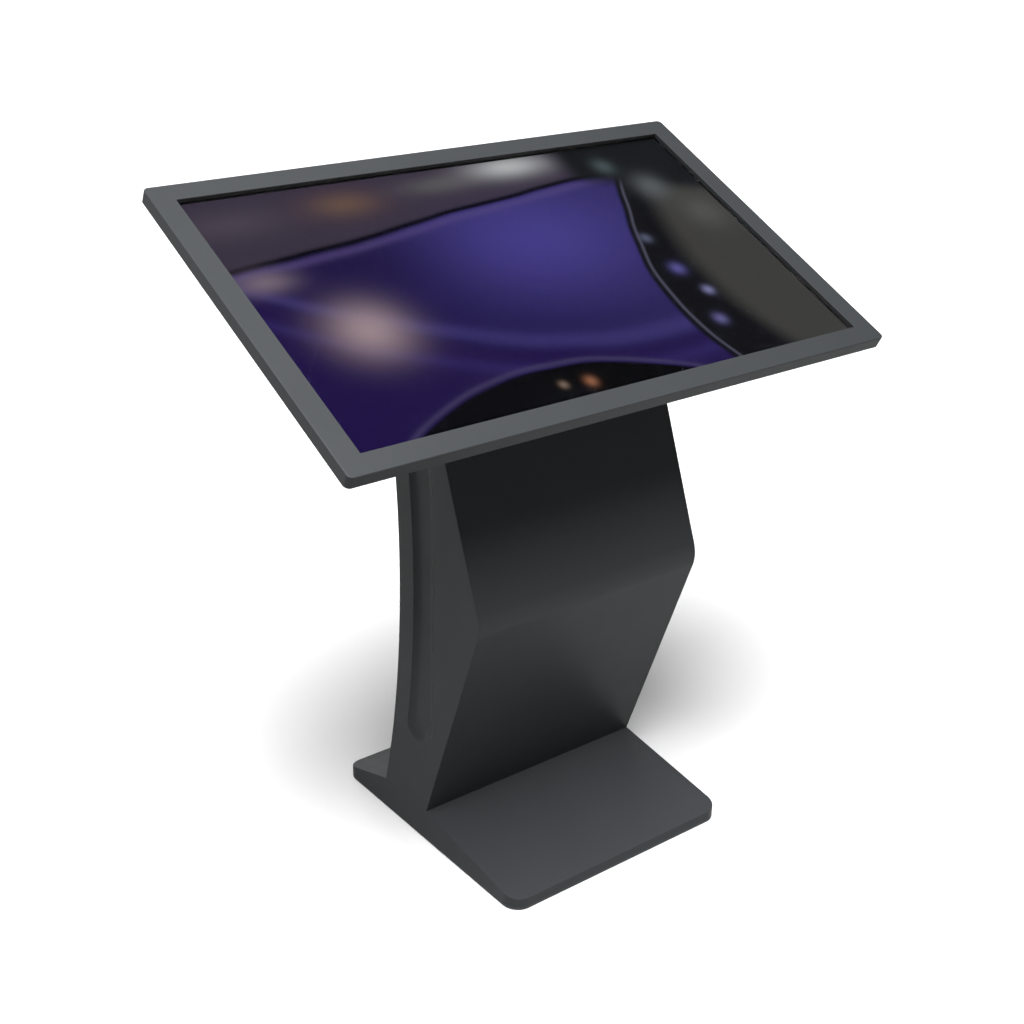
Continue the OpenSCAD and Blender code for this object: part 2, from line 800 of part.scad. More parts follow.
// A knuckle at the height `low`, with its web and a leaf that starts at `leaf_low`.
module hinge_half(low, leaf_low, bore_r) {
    web_t = 3;
    difference() {
        union() {
            translate([hinge_x, hinge_y, low]) cylinder(r = knuckle_r, h = knuckle_l, $fn = 32);
            across(hinge_x, web_t) outside_column(low, low + knuckle_l);
            across(hinge_x, leaf_w) outer_band(hinge_leaf, leaf_low, leaf_low + leaf_l);
        }
        translate([hinge_x, hinge_y, low - over])
            cylinder(r = bore_r, h = knuckle_l + 2 * over, $fn = 32);
    }
}

module hinge_brackets() {
    color([0.45, 0.45, 0.46]) hung_right() {
        hinge_half(door_high_z + door_gap, door_high_z + door_gap, hinge_pin_r);
        hinge_half(door_low_z - door_gap - knuckle_l, door_low_z - door_gap - leaf_l, hinge_pin_r);
    }
}

module hinge_leaves() {
    color([0.45, 0.45, 0.46]) hung_right() {
        hinge_half(door_high_z - knuckle_l, door_high_z - leaf_l, hinge_pin_r + pin_fit);
        hinge_half(door_low_z, door_low_z, hinge_pin_r + pin_fit);
    }
}

module hinge_pins() {
    pin_l = 2 * knuckle_l + door_gap;
    color([0.7, 0.7, 0.72]) hung_right()
        for (z = [door_high_z - knuckle_l, door_low_z - door_gap - knuckle_l])
            translate([hinge_x, hinge_y, z]) cylinder(r = hinge_pin_r, h = pin_l, $fn = 32);
}

module service_door() {
    stiffener_w = 130;
    stiffener_t = 5;
    color([0.15, 0.155, 0.16]) hung_right() difference() {
        union() {
            across(-door_w / 2, door_w) intersection() {
                back_band(0, skin_sheet);
                height_band(door_low_z, door_high_z);
            }
            across(-stiffener_w / 2, stiffener_w) intersection() {
                back_band(skin_sheet, skin_sheet + stiffener_t);
                height_band(door_low_z + 30, door_high_z - 30);
            }
        }
        translate([lock_x, cam_y, lock_z]) rotate([-90, 0, 0])
            cylinder(r = lock_r + pin_fit, h = column_rear_y);
    }
}

module door_gasket() {
    color([0.03, 0.03, 0.03]) mirrored() across(-inside_w / 2 + 3, stop_w - 6) intersection() {
        back_band(skin_sheet + fit, stop_in);
        height_band(door_low_z + 2, door_high_z - 2);
    }
}

module lock_barrel() {
    slot = [2, 3, 11];
    face = back_y(lock_z) + fit;
    color([0.75, 0.75, 0.77]) hung_right() difference() {
        union() {
            translate([lock_x, cam_y + cam_t, lock_z]) rotate([-90, 0, 0])
                cylinder(r = lock_r, h = face - cam_y - cam_t + over / 2);
            translate([lock_x, face, lock_z]) rotate([-90, 0, 0]) cylinder(r = lock_face_r, h = lock_face_t);
        }
        block([lock_x - slot[0] / 2, face + lock_face_t - 2, lock_z - slot[2] / 2], slot);
    }
}

// The cam hangs down when the door is free, and turns to the side panel's flange to lock it.
module lock_cam() {
    color([0.6, 0.6, 0.62]) hung_right() translate([lock_x, cam_y, lock_z]) rotate([-90, 0, 0])
        linear_extrude(cam_t) {
            circle(cam_w / 2);
            translate([-cam_w / 2, 0]) square([cam_w, cam_reach - cam_w / 2]);
            translate([0, cam_reach - cam_w / 2]) circle(cam_w / 2);
        }
}

// ---- Display head ----

module front_bezel() {
    color([0.2, 0.205, 0.21]) on_head() difference() {
        union() {
            difference() {
                round_plate(bezel_w, bezel_h, bezel_corner_r, -rim_h, 0);
                round_plate(bezel_w - 2 * bezel_sheet, bezel_h - 2 * bezel_sheet,
                    bezel_corner_r - bezel_sheet, -rim_h - over, -bezel_sheet);
            }
            for (p = bracket_at) translate([p[0], p[1], -tray_front - tray_edge])
                cylinder(r = boss_r, h = tray_front + tray_edge - bezel_sheet, $fn = 24);
            for (p = cover_screw_at) translate([p[0], p[1], -rim_h + box_sheet])
                cylinder(r = boss_r, h = rim_h - box_sheet - bezel_sheet, $fn = 24);
        }
        slab([0, 0], [opening_w, opening_h, 3 * over + bezel_sheet], -bezel_sheet - over);
        for (p = concat(bracket_at, cover_screw_at)) translate([p[0], p[1], -rim_h - over])
            cylinder(r = boss_hole_r, h = rim_h - bezel_sheet - over, $fn = 24);
    }
}

module frame_ring(outer, inner, low, high) {
    difference() {
        slab([0, 0], [outer[0], outer[1], high - low], low);
        slab([0, 0], [inner[0], inner[1], high - low + 2 * over], low - over);
    }
}

module touch_sensor_frame() {
    sensor_w = 12;
    color([0.01, 0.01, 0.01]) on_head() frame_ring([opening_w + 2 * sensor_w, opening_h + 2 * sensor_w],
        [opening_w, opening_h], -glass_recess, -bezel_sheet);
}

module cover_glass() {
    color([0.3, 0.35, 0.4, 0.4]) on_head()
        slab([0, 0], [opening_w + 2 * glass_lap, opening_h + 2 * glass_lap, glass_t], -glass_back);
}

module panel_gasket() {
    gasket_w = 8;
    color([0.02, 0.02, 0.02]) on_head() frame_ring([opening_w + 2 * gasket_w, opening_h + 2 * gasket_w],
        [opening_w, opening_h], -panel_front, -glass_back);
}

module display_panel() {
    color([0.12, 0.1, 0.4]) on_head()
        slab([0, 0], [opening_w + 2 * panel_lap, opening_h + 2 * panel_lap, panel_t], -tray_front);
}

module backlight_tray() {
    w = opening_w + 2 * tray_lap;
    h = opening_h + 2 * tray_lap;
    color([0.6, 0.6, 0.62]) on_head() difference() {
        union() {
            slab([0, 0], [w, h, tray_edge], -tray_front - tray_edge);
            slab([0, 0], [w - 2 * tray_inset, h - 2 * tray_inset, tray_back - tray_front], -tray_back);
        }
        slab([0, 0], [w - 2 * (tray_inset + tray_sheet), h - 2 * (tray_inset + tray_sheet), head_t],
            -tray_back + tray_sheet);
    }
}

module panel_brackets() {
    lap = 8;
    inner = opening_w / 2 + tray_lap - lap;
    outer = edge_x + boss_r;
    color([0.65, 0.65, 0.66]) on_head() difference() {
        for (p = bracket_at)
            slab([sign(p[0]) * (inner + outer) / 2, p[1]], [outer - inner, bracket_size[1], bracket_t],
                -tray_front - tray_edge - bracket_t);
        for (p = bracket_at) translate([p[0], p[1], -rim_h])
            cylinder(r = boss_hole_r, h = rim_h, $fn = 24);
    }
}

module panel_screws() {
    color([0.6, 0.6, 0.6]) on_head() for (p = bracket_at)
        translate([p[0], p[1], -tray_front - tray_edge - bracket_t])
            cylinder(r = boss_hole_r, h = 12, $fn = 24);
}

module mounting_frame() {
    rail_l = box_h - 2 * box_sheet - 2;
    color([0.4, 0.4, 0.41]) on_head() difference() {
        union() {
            for (x = [-1, 1]) slab([x * rail_x, 0], [rail_w, rail_l, rail_t], -box_inside);
            for (y = cross_at) slab([0, y], [2 * rail_x, cross_w, rail_t], -box_inside);
        }
        for (x = [-1, 1])
            slab([x * rail_x, 0], [rail_w - 2 * rail_sheet, rail_l + 2 * over, rail_t],
                -box_inside + rail_sheet);
        for (y = cross_at)
            slab([0, y], [2 * rail_x - rail_w + 2 * over, cross_w - 2 * rail_sheet, rail_t],
                -box_inside + rail_sheet);
        neck_bolt_places() translate([0, 0, -head_t]) cylinder(r = neck_bolt_r + seat, h = head_t);
    }
}

module key_places() {
    for (i = [-1:1]) translate([key_x + i * key_pitch, -box_h / 2, key_z]) rotate([-90, 0, 0]) children();
}

module rear_cover() {
    intake_rows = 5;
    color([0.13, 0.135, 0.14]) on_head() difference() {
        round_plate(box_w, box_h, box_corner_r, -head_t, -rim_h + box_sheet);
        round_plate(box_w - 2 * box_sheet, box_h - 2 * box_sheet, box_corner_r - box_sheet,
            -box_inside, over);
        for (x = [-1, 1]) translate([x * fan_at[0], fan_at[1], -head_t - over])
            cylinder(r = fan_r, h = box_sheet + 2 * over);
        for (x = [-1, 1], i = [-(intake_rows - 1) / 2:(intake_rows - 1) / 2])
            slab([x * speaker_at[0], speaker_at[1] + i * slot_pitch],
                [speaker_size[0] - 50, slot_h, box_sheet + 2 * over], -head_t - over);
        slab(port_at, [port_size[0], port_size[1], box_sheet + 2 * over], -head_t - over);
        slab([0, neck_v((upper_front_top(0, 0)[0] + neck_rear_y) / 2)],
            [neck_slot[0], neck_slot[1], box_sheet + 2 * over], -head_t - over);
        neck_bolt_places() translate([0, 0, -head_t - over])
            cylinder(r = neck_bolt_r + seat, h = box_sheet + 2 * over);
        key_places() translate([0, 0, -over]) cylinder(r = key_r + fit, h = box_sheet + 2 * over, $fn = 32);
    }
}

// The flat ring round the rear box that is screwed to the bezel.
module rear_flange() {
    gap = bezel_sheet + seat;
    color([0.13, 0.135, 0.14]) on_head() difference() {
        round_plate(bezel_w - 2 * gap, bezel_h - 2 * gap, bezel_corner_r - bezel_sheet,
            -rim_h, -rim_h + box_sheet);
        round_plate(box_w, box_h, box_corner_r, -rim_h - over, -rim_h + box_sheet + over);
        for (p = cover_screw_at) translate([p[0], p[1], -rim_h - over])
            cylinder(r = boss_hole_r + seat, h = box_sheet + 2 * over, $fn = 24);
    }
}

module rear_cover_screws() {
    head_h = 1.8;
    color([0.5, 0.5, 0.5]) on_head() for (p = cover_screw_at)
        translate([p[0], p[1], -rim_h]) mirror([0, 0, 1]) screw(boss_hole_r, 3, head_h, 12);
}

module speaker(x) {
    on_head() difference() {
        slab([x, speaker_at[1]], speaker_size, -box_inside);
        for (e = [-1, 1]) translate([x + e * speaker_size[0] / 4, speaker_at[1], -box_inside - over])
            cylinder(r1 = cone_r + over, r2 = cone_r / 3, h = 10, $fn = 32);
    }
}

module speaker_left() {
    color([0.05, 0.05, 0.05]) speaker(-speaker_at[0]);
}

module speaker_right() {
    color([0.05, 0.05, 0.05]) speaker(speaker_at[0]);
}

module at_fan(x) {
    on_head() translate([x, fan_at[1], -box_inside]) children();
}

module fan_housing() {
    arm_t = 2.5;
    arm_count = 4;
    difference() {
        union() {
            difference() {
                slab([0, 0], [fan_size, fan_size, fan_t], 0);
                translate([0, 0, -over]) cylinder(r = fan_bore_r, h = fan_t + 2 * over);
            }
            for (i = [0:arm_count - 1]) rotate([0, 0, 45 + i * 360 / arm_count])
                block([0, -2, 0], [fan_bore_r + 1, 4, arm_t]);
            cylinder(r = rotor_hub_r, h = arm_t);
        }
        translate([0, 0, -over]) cylinder(r = rotor_shaft_r + pin_fit, h = arm_t + 2 * over, $fn = 32);
    }
}

module fan_left() {
    color([0.04, 0.04, 0.04]) at_fan(-fan_at[0]) fan_housing();
}

module fan_right() {
    color([0.04, 0.04, 0.04]) at_fan(fan_at[0]) fan_housing();
}

module rotor() {
    lift = 3;
    hub_h = fan_t - lift - 2;
    blade_w = rotor_r - rotor_hub_r + 1;
    translate([0, 0, 0.5]) cylinder(r = rotor_shaft_r, h = lift + 1, $fn = 32);
    translate([0, 0, lift]) {
        cylinder(r = rotor_hub_r, h = hub_h);
        for (i = [0:blade_count - 1]) rotate([0, 0, i * 360 / blade_count])
            translate([rotor_hub_r - 1, 0, hub_h / 2]) rotate([35, 0, 0])
                translate([0, -8, -0.7]) cube([blade_w - 1, 16, 1.4]);
    }
}

module fan_rotor_left() {
    color([0.06, 0.06, 0.06]) at_fan(-fan_at[0]) rotor();
}

module fan_rotor_right() {
    color([0.06, 0.06, 0.06]) at_fan(fan_at[0]) rotor();
}

module fan_guards() {
    ring_rs = [12, 21, 30, fan_r + 2];
    color([0.5, 0.5, 0.51]) on_head() for (x = [-1, 1])
        translate([x * fan_at[0], fan_at[1], -head_t - guard_wire]) {
            for (r = ring_rs) difference() {
                cylinder(r = r + guard_wire / 2, h = guard_wire);
                translate([0, 0, -over]) cylinder(r = r - guard_wire / 2, h = guard_wire + 2 * over);
            }
            for (a = [45, 135]) rotate([0, 0, a])
                slab([0, 0], [2 * fan_r + 4, guard_wire, guard_wire], 0);
        }
}

module driver_board() {
    under = -tray_back - standoff_h - board_size[2];
    color([0.05, 0.25, 0.12]) on_head() {
        for (x = [-1, 1], y = [-1, 1])
            translate([board_at[0] + x * (board_size[0] / 2 - 8), board_at[1] + y * (board_size[1] / 2 - 8),
                -tray_back - standoff_h]) cylinder(r = 3, h = standoff_h, $fn = 24);
        slab(board_at, board_size, under);
        for (i = [-1:1]) slab([board_at[0] + i * 62, board_at[1] + 8], [34, 34, 5], under - 5);
        slab([board_at[0], board_at[1] - 46], [150, 12, 8], under - 8);
    }
}

module power_supply() {
    color([0.7, 0.7, 0.72]) on_head() slab(supply_at, supply_size, -tray_back - supply_size[2]);
}

module port_panel() {
    ports = [[-52, 26], [-14, 18], [14, 18], [48, 30]];
    lip = 6;
    color([0.35, 0.35, 0.36]) on_head() difference() {
        slab(port_at, [port_size[0] + 2 * lip, port_size[1] + 2 * lip, 2], -box_inside);
        for (p = ports) slab([port_at[0] + p[0], port_at[1]], [p[1], 12, 2 * over], -box_inside - over);
    }
}

module key_bracket() {
    depth = 3;
    back = box_sheet + fit + 2 + key_travel + fit;
    color([0.3, 0.3, 0.3]) on_head()
        block([key_x - 2 * key_pitch, -box_h / 2 + back, -box_inside],
            [4 * key_pitch, depth, box_inside - rim_h - 3]);
}

module key_body() {
    translate([0, 0, -key_proud]) cylinder(r = key_r, h = key_proud + box_sheet + fit + 1, $fn = 32);
    translate([0, 0, box_sheet + fit]) cylinder(r = key_flange_r, h = 2, $fn = 32);
}

module at_key(i) {
    color([0.08, 0.08, 0.08]) on_head()
        translate([key_x + i * key_pitch, -box_h / 2, key_z]) rotate([-90, 0, 0]) key_body();
}

module key_power() {
    at_key(-1);
}

module key_up() {
    at_key(0);
}

module key_down() {
    at_key(1);
}

foot_pads();
foot_plate();
foot_ballast();
foot_cover();
foot_screws();
cable_grommet();
side_panel_left();
side_panel_right();
flute_pan_left();
flute_pan_right();
stop_flanges();
weld_flanges();
front_skin();
back_panel_upper();
back_panel_lower();
frame_uprights();
frame_crossbars();
equipment_shelf();
media_player();
power_strip();
cable_duct();
neck_plate();
neck_bolts();
power_inlet();
inlet_pins();
rocker_switch();
hinge_brackets();
hinge_pins();
service_door();
hinge_leaves();
door_gasket();
lock_barrel();
lock_cam();
front_bezel();
touch_sensor_frame();
cover_glass();
panel_gasket();
display_panel();
backlight_tray();
panel_brackets();
panel_screws();
mounting_frame();
rear_cover();
rear_flange();
rear_cover_screws();
speaker_left();
speaker_right();
fan_left();
fan_right();
fan_rotor_left();
fan_rotor_right();
fan_guards();
driver_board();
power_supply();
port_panel();
key_bracket();
key_power();
key_up();
key_down();
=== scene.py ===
import math

import bmesh
import bpy
import numpy as np
from bpy.props import FloatProperty, FloatVectorProperty, IntProperty, PointerProperty
from mathutils import Matrix, Vector


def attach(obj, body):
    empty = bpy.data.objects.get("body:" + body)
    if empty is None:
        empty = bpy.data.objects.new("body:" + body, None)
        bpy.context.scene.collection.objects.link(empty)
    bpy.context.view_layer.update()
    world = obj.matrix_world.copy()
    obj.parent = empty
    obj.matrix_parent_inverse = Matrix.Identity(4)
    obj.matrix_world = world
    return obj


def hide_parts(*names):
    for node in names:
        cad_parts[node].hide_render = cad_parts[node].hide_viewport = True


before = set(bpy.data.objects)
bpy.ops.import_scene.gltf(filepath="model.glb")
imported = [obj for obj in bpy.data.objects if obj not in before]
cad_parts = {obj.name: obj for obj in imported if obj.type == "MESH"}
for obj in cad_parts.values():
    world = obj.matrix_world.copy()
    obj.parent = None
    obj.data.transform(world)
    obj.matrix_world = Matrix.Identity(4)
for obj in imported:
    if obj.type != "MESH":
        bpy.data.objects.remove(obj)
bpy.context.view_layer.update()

bl_info = {
    "name": "Touchscreen kiosk",
    "version": (1, 0, 0),
    "blender": (4, 5, 0),
    "location": "View3D > Sidebar > Kiosk",
    "description": "Builds the finishes and fine shapes of a tilted touchscreen kiosk",
    "category": "Object",
}

# The outline that the sheet-metal pieces share, in metres
HEAD_TILT = math.radians(26.5)
HEAD_MIDDLE = Vector((0, 0.0325, 0.938))
HEAD = Matrix.Translation(HEAD_MIDDLE) @ Matrix.Rotation(HEAD_TILT, 4, "X")
HEAD_DEPTH = 0.065
RIM_HEIGHT = 0.0204
BEZEL = (1.021, 0.604)
OPENING = (0.945, 0.533)
BEZEL_SHEET = 0.0015
FOOT_TOP = 0.0575
FOOT_FRONT_Y = -0.0045
KNEE = (-0.1407, 0.4565)
KNEE_RADIUS = 0.060
UPPER_LEAN = math.radians(21)
LOWER_LEAN = math.atan((FOOT_FRONT_Y - KNEE[0]) / (KNEE[1] - FOOT_TOP))
BACK_CENTRE = (1.790, 0.445)
BACK_RADIUS = 1.720
COLUMN_HALF = 0.224
SIDE_SHEET = 0.0025
SKIN_SHEET = 0.002
TOP_RISE = math.tan(HEAD_TILT)
TOP_AT_0 = HEAD_MIDDLE.z - HEAD_DEPTH / math.cos(HEAD_TILT) - HEAD_MIDDLE.y * TOP_RISE

# The flutes pressed into the side panels
FLUTE_MARGIN = 0.0383
FLUTE_FRONT_Y = -0.0245
FLUTE_LOW_Z = 0.1835
FLUTE_SLOPE = 0.020
FLUTE_STEP = 0.011
FLUTE_SCOOP = 0.024
FLUTE_BEND = 0.014
# The flute's end: how far its low point is from the front and the rear, and each side's rise
FLUTE_END = (0.044, 0.030, 0.068, 0.027)

# The side panels' grid: heights with the number of level rows from each to the next, and how many
# rows then slant up to the head; shares across the flute at which extra columns run beside its edges
ROW_BANDS = ((FOOT_TOP - 0.0006, 7), (0.170, 46), (0.262, 15), (0.420, 23), (0.500, 8), (0.600, 0))
SLANTED_ROWS = 40
FLUTE_COLUMNS = 22
EXTRA_COLUMNS = (0.012, 0.025, 0.94, 0.965, 0.975, 0.985, 0.993)
EDGE_COLUMNS = 6

# Places on the head, in its own frame: x across, y up the slope, z out of the glass
BOX_INSIDE = 0.0635
EDGE_AT = (0.49825, 0.2910)
FAN_AT = (0.265, 0.115)
FAN_SCREW = 0.03575
SPEAKER_AT = (0.315, -0.170)
SPEAKER_CONE = 0.0375
PORT_AT = (-0.300, 0.020)
PORTS = ((-0.052, 0.026), (-0.014, 0.018), (0.014, 0.018), (0.048, 0.030))
PORT_HEIGHT = 0.010

# The bezel's corners and the radii of its small edges
BEZEL_CORNER = 0.009
OPENING_CORNER = 0.0006
OPENING_LIP = 0.0005
RIM_FOOT = 0.0004

# The foot's pads and the door's seal
PAD_AT = (0.150, 0.1945)
PAD_HEIGHT = 0.0015
SEAL_LOW = 0.247
SEAL_HIGH = 0.643
SEAL_X = 0.2185
SEAL_WIDTH = 0.017
SEAL_IN = 0.00365

# Button-head screws: head radius, head height and length
COVER_SCREW = (0.003, 0.0018, 0.010)
GUARD_SCREW = (0.0026, 0.0015, 0.0015)

SIDES = ((-1, "left"), (1, "right"))

# The CAD nodes that each finish covers; the powder coat covers the others
FINISHES = {
    "foot_steel": "foot_plate",
    "frame_steel": "frame_uprights frame_crossbars neck_plate mounting_frame foot_ballast equipment_shelf",
    "zinc": "backlight_tray panel_brackets power_supply key_bracket port_panel",
    "plain_steel": "neck_bolts foot_screws panel_screws rear_cover_screws hinge_brackets hinge_leaves "
                   "fan_guards lock_cam",
    "chrome": "lock_barrel inlet_pins hinge_pins",
    "black_plastic": "power_inlet rocker_switch media_player power_strip speaker_left speaker_right "
                     "fan_left fan_right fan_rotor_left fan_rotor_right key_power key_up key_down",
    "grey_plastic": "cable_duct",
    "sensor": "touch_sensor_frame",
    "rubber": "foot_pads cable_grommet door_gasket panel_gasket",
    "glass": "cover_glass",
    "picture": "display_panel",
    "board": "driver_board",
}
FINISH_OF = {node: finish for finish, nodes in FINISHES.items() for node in nodes.split()}

# The picture, across and up it from -1 to 1. Lamps: middle, reach across and up, colour, strength
LAMPS = (
    (-0.69, -0.19, 0.13, 0.21, (0.33, 0.24, 0.26), 0.95),
    (-0.90, 0.29, 0.10, 0.09, (0.20, 0.15, 0.19), 0.8),
    (-0.45, 0.81, 0.13, 0.11, (0.13, 0.075, 0.055), 0.85),
    (-0.88, 0.78, 0.20, 0.12, (0.075, 0.060, 0.080), 0.7),
    (-0.05, 0.86, 0.16, 0.08, (0.10, 0.095, 0.10), 0.8),
    (0.27, 0.93, 0.16, 0.10, (0.46, 0.47, 0.47), 0.9))
# Small lights: middle, reach across, colour
SMALL_LIGHTS = (
    (0.56, -0.20, 0.030, (0.10, 0.09, 0.30)), (0.60, -0.42, 0.022, (0.20, 0.20, 0.38)),
    (0.55, 0.10, 0.024, (0.09, 0.10, 0.16)), (0.54, -0.66, 0.026, (0.12, 0.11, 0.28)),
    (0.78, 0.55, 0.070, (0.10, 0.11, 0.12)), (0.90, 0.24, 0.090, (0.085, 0.085, 0.08)),
    (0.66, 0.80, 0.045, (0.06, 0.08, 0.085)), (-0.12, -0.88, 0.022, (0.30, 0.12, 0.06)),
    (-0.22, -0.86, 0.016, (0.20, 0.14, 0.10)))

# The stage: half the floor, the suns' spread in degrees and their ways, the softbox and the camera
FLOOR_HALF = 60.0
SUNS = (
    ("key", "key_light", 42, (0.23, 0.27, -0.935)),
    ("back_fill", "back_light", 30, (-0.40, -0.80, -0.45)))
SOFTBOX_SIZE = (0.9, 0.7)
SOFTBOX_AT = (-0.45, -0.35, 2.1)
SOFTBOX_AIM = (-0.4, -0.2, 0.8)
CAMERA = {"lens": 52.36, "sensor_width": 36.0, "shift_x": 0.0929, "shift_y": -0.0192, "clip_end": 200.0}
CAMERA_AT = (-1.4243, -1.6751, 1.5177)
CAMERA_TURN = (math.radians(90 - 23.28), 0.0, math.radians(-35.27))


# -------- settings


def number(name, description, default, low, high, **more):
    return FloatProperty(name=name, description=description, default=default, min=low, max=high, **more)


def length(*facts):
    return number(*facts, unit="LENGTH", precision=4)


def tint(name, description, default):
    return FloatVectorProperty(
        name=name, description=description, default=default, size=3, min=0, max=1, subtype="COLOR")


class KioskSizes(bpy.types.PropertyGroup):
    """Sizes that a maker would change"""

    bezel_edge: length("Bezel edge radius", "Rounding of the bezel's outer edge", 0.0018, 0.0005, 0.004)
    sheet_edge: length("Sheet edge radius", "Rounding of the side panels' edges", 0.0010, 0.0003, 0.002)
    foot_edge: length("Foot edge radius", "Rounding of the foot cover's edges", 0.0016, 0.0005, 0.003)
    fine_edge: length("Fine edge radius", "Rounding of the small hardware's edges", 0.0004, 0.0001, 0.001)
    flute_depth: length("Flute depth", "How far the side panels' flutes are pressed in", 0.007, 0.002, 0.009)
    guard_wire: length("Guard wire", "Thickness of the fan guards' wire", 0.0016, 0.0008, 0.0016)
    screen_pitch: length(
        "Dust screen pitch", "Distance between the wires of the dust screens", 0.0022, 0.0015, 0.005)
    blade_count: IntProperty(
        name="Fan blades", description="Number of blades on each fan", default=7, min=5, max=11)


class KioskColours(bpy.types.PropertyGroup):
    """Colours and finishes that a maker would change"""

    coat: tint("Powder coat", "Colour of the charcoal powder coat", (0.0155, 0.0167, 0.0178))
    coat_roughness: number(
        "Coat roughness", "Roughness of the satin powder coat", 0.42, 0.1, 0.9, subtype="FACTOR")
    screen_light: number("Screen brightness", "Brightness of the picture on the screen", 1.0, 0, 5)


class KioskStage(bpy.types.PropertyGroup):
    """The floor and the lights"""

    floor_colour: tint("Floor", "Colour of the floor", (0.37, 0.37, 0.37))
    sky_light: number("Surrounding light", "Brightness of the even light all round", 0.12, 0, 3)
    key_light: number("Key light", "Strength of the high, soft main light", 12.5, 0, 40)
    back_light: number("Back light", "Strength of the weak light from behind", 1.1, 0, 10)
    box_light: number("Softbox", "Strength of the softbox over the head's near corner", 45.0, 0, 100)


def sizes():
    return bpy.context.scene.kiosk_sizes


def colours():
    return bpy.context.scene.kiosk_colours


# -------- node trees


def both_ways(operation):
    """The methods for value-operation-other and for other-operation-value"""
    def plain(self, other):
        return self.graph.maths_of(operation, self, other)

    def swapped(self, other):
        return self.graph.maths_of(operation, other, self)

    return plain, swapped


class Value:
    """A node's output that can be used in an expression"""

    def __init__(self, graph, socket):
        self.graph = graph
        self.socket = socket

    __add__, __radd__ = both_ways("ADD")
    __sub__, __rsub__ = both_ways("SUBTRACT")
    __mul__, __rmul__ = both_ways("MULTIPLY")
    __truediv__, __rtruediv__ = both_ways("DIVIDE")
    __pow__, __rpow__ = both_ways("POWER")


class Graph:
    """A node tree that is written as calls and expressions"""

    def __init__(self, tree):
        self.tree = tree

    def put(self, socket, value):
        if isinstance(value, Value):
            self.tree.links.new(value.socket, socket)
        elif value is not None:
            socket.default_value = value

    def add(self, kind, inputs=None, output=0, **settings):
        node = self.tree.nodes.new(kind)
        for key, value in settings.items():
            setattr(node, key, value)
        for key, value in (inputs or {}).items():
            self.put(node.inputs[key], value)
        return Value(self, node.outputs[output])

    def other(self, value, output):
        """Another output of the node that a value comes from"""
        return Value(self, value.socket.node.outputs[output])

    def mix(self, low, high, factor):
        """A colour between two colours"""
        low, high = (c if isinstance(c, Value) else (*c, 1.0) for c in (low, high))
        return self.add("ShaderNodeMix", {0: factor, 6: low, 7: high}, 2, data_type="RGBA")

    def shades(self, colour, dark, light, factor):
        """A colour between a darker and a lighter shade of itself"""
        return self.mix(*(tuple(c * share for c in colour) for share in (dark, light)), factor)

    def mapped(self, **changes):
        """The place on the object, with its scale, turn or origin changed"""
        return self.add("ShaderNodeMapping", {"Vector": self.place, **changes})

    def noise(self, place, scale, detail=2.0, roughness=0.5):
        return self.add("ShaderNodeTexNoise", {
            "Vector": place, "Scale": scale, "Detail": detail, "Roughness": roughness})

    def ease(self, value, low, high):
        """0 below low, 1 above high, and smooth between them"""
        return self.add("ShaderNodeMapRange", {"Value": value, "From Min": low, "From Max": high},
                        interpolation_type="SMOOTHSTEP")

    def maths_of(self, operation, *values):
        return self.add("ShaderNodeMath", dict(enumerate(values)), operation=operation)

    def bump(self, height, distance, strength):
        return self.add("ShaderNodeBump", {"Height": height, "Distance": distance, "Strength": strength})


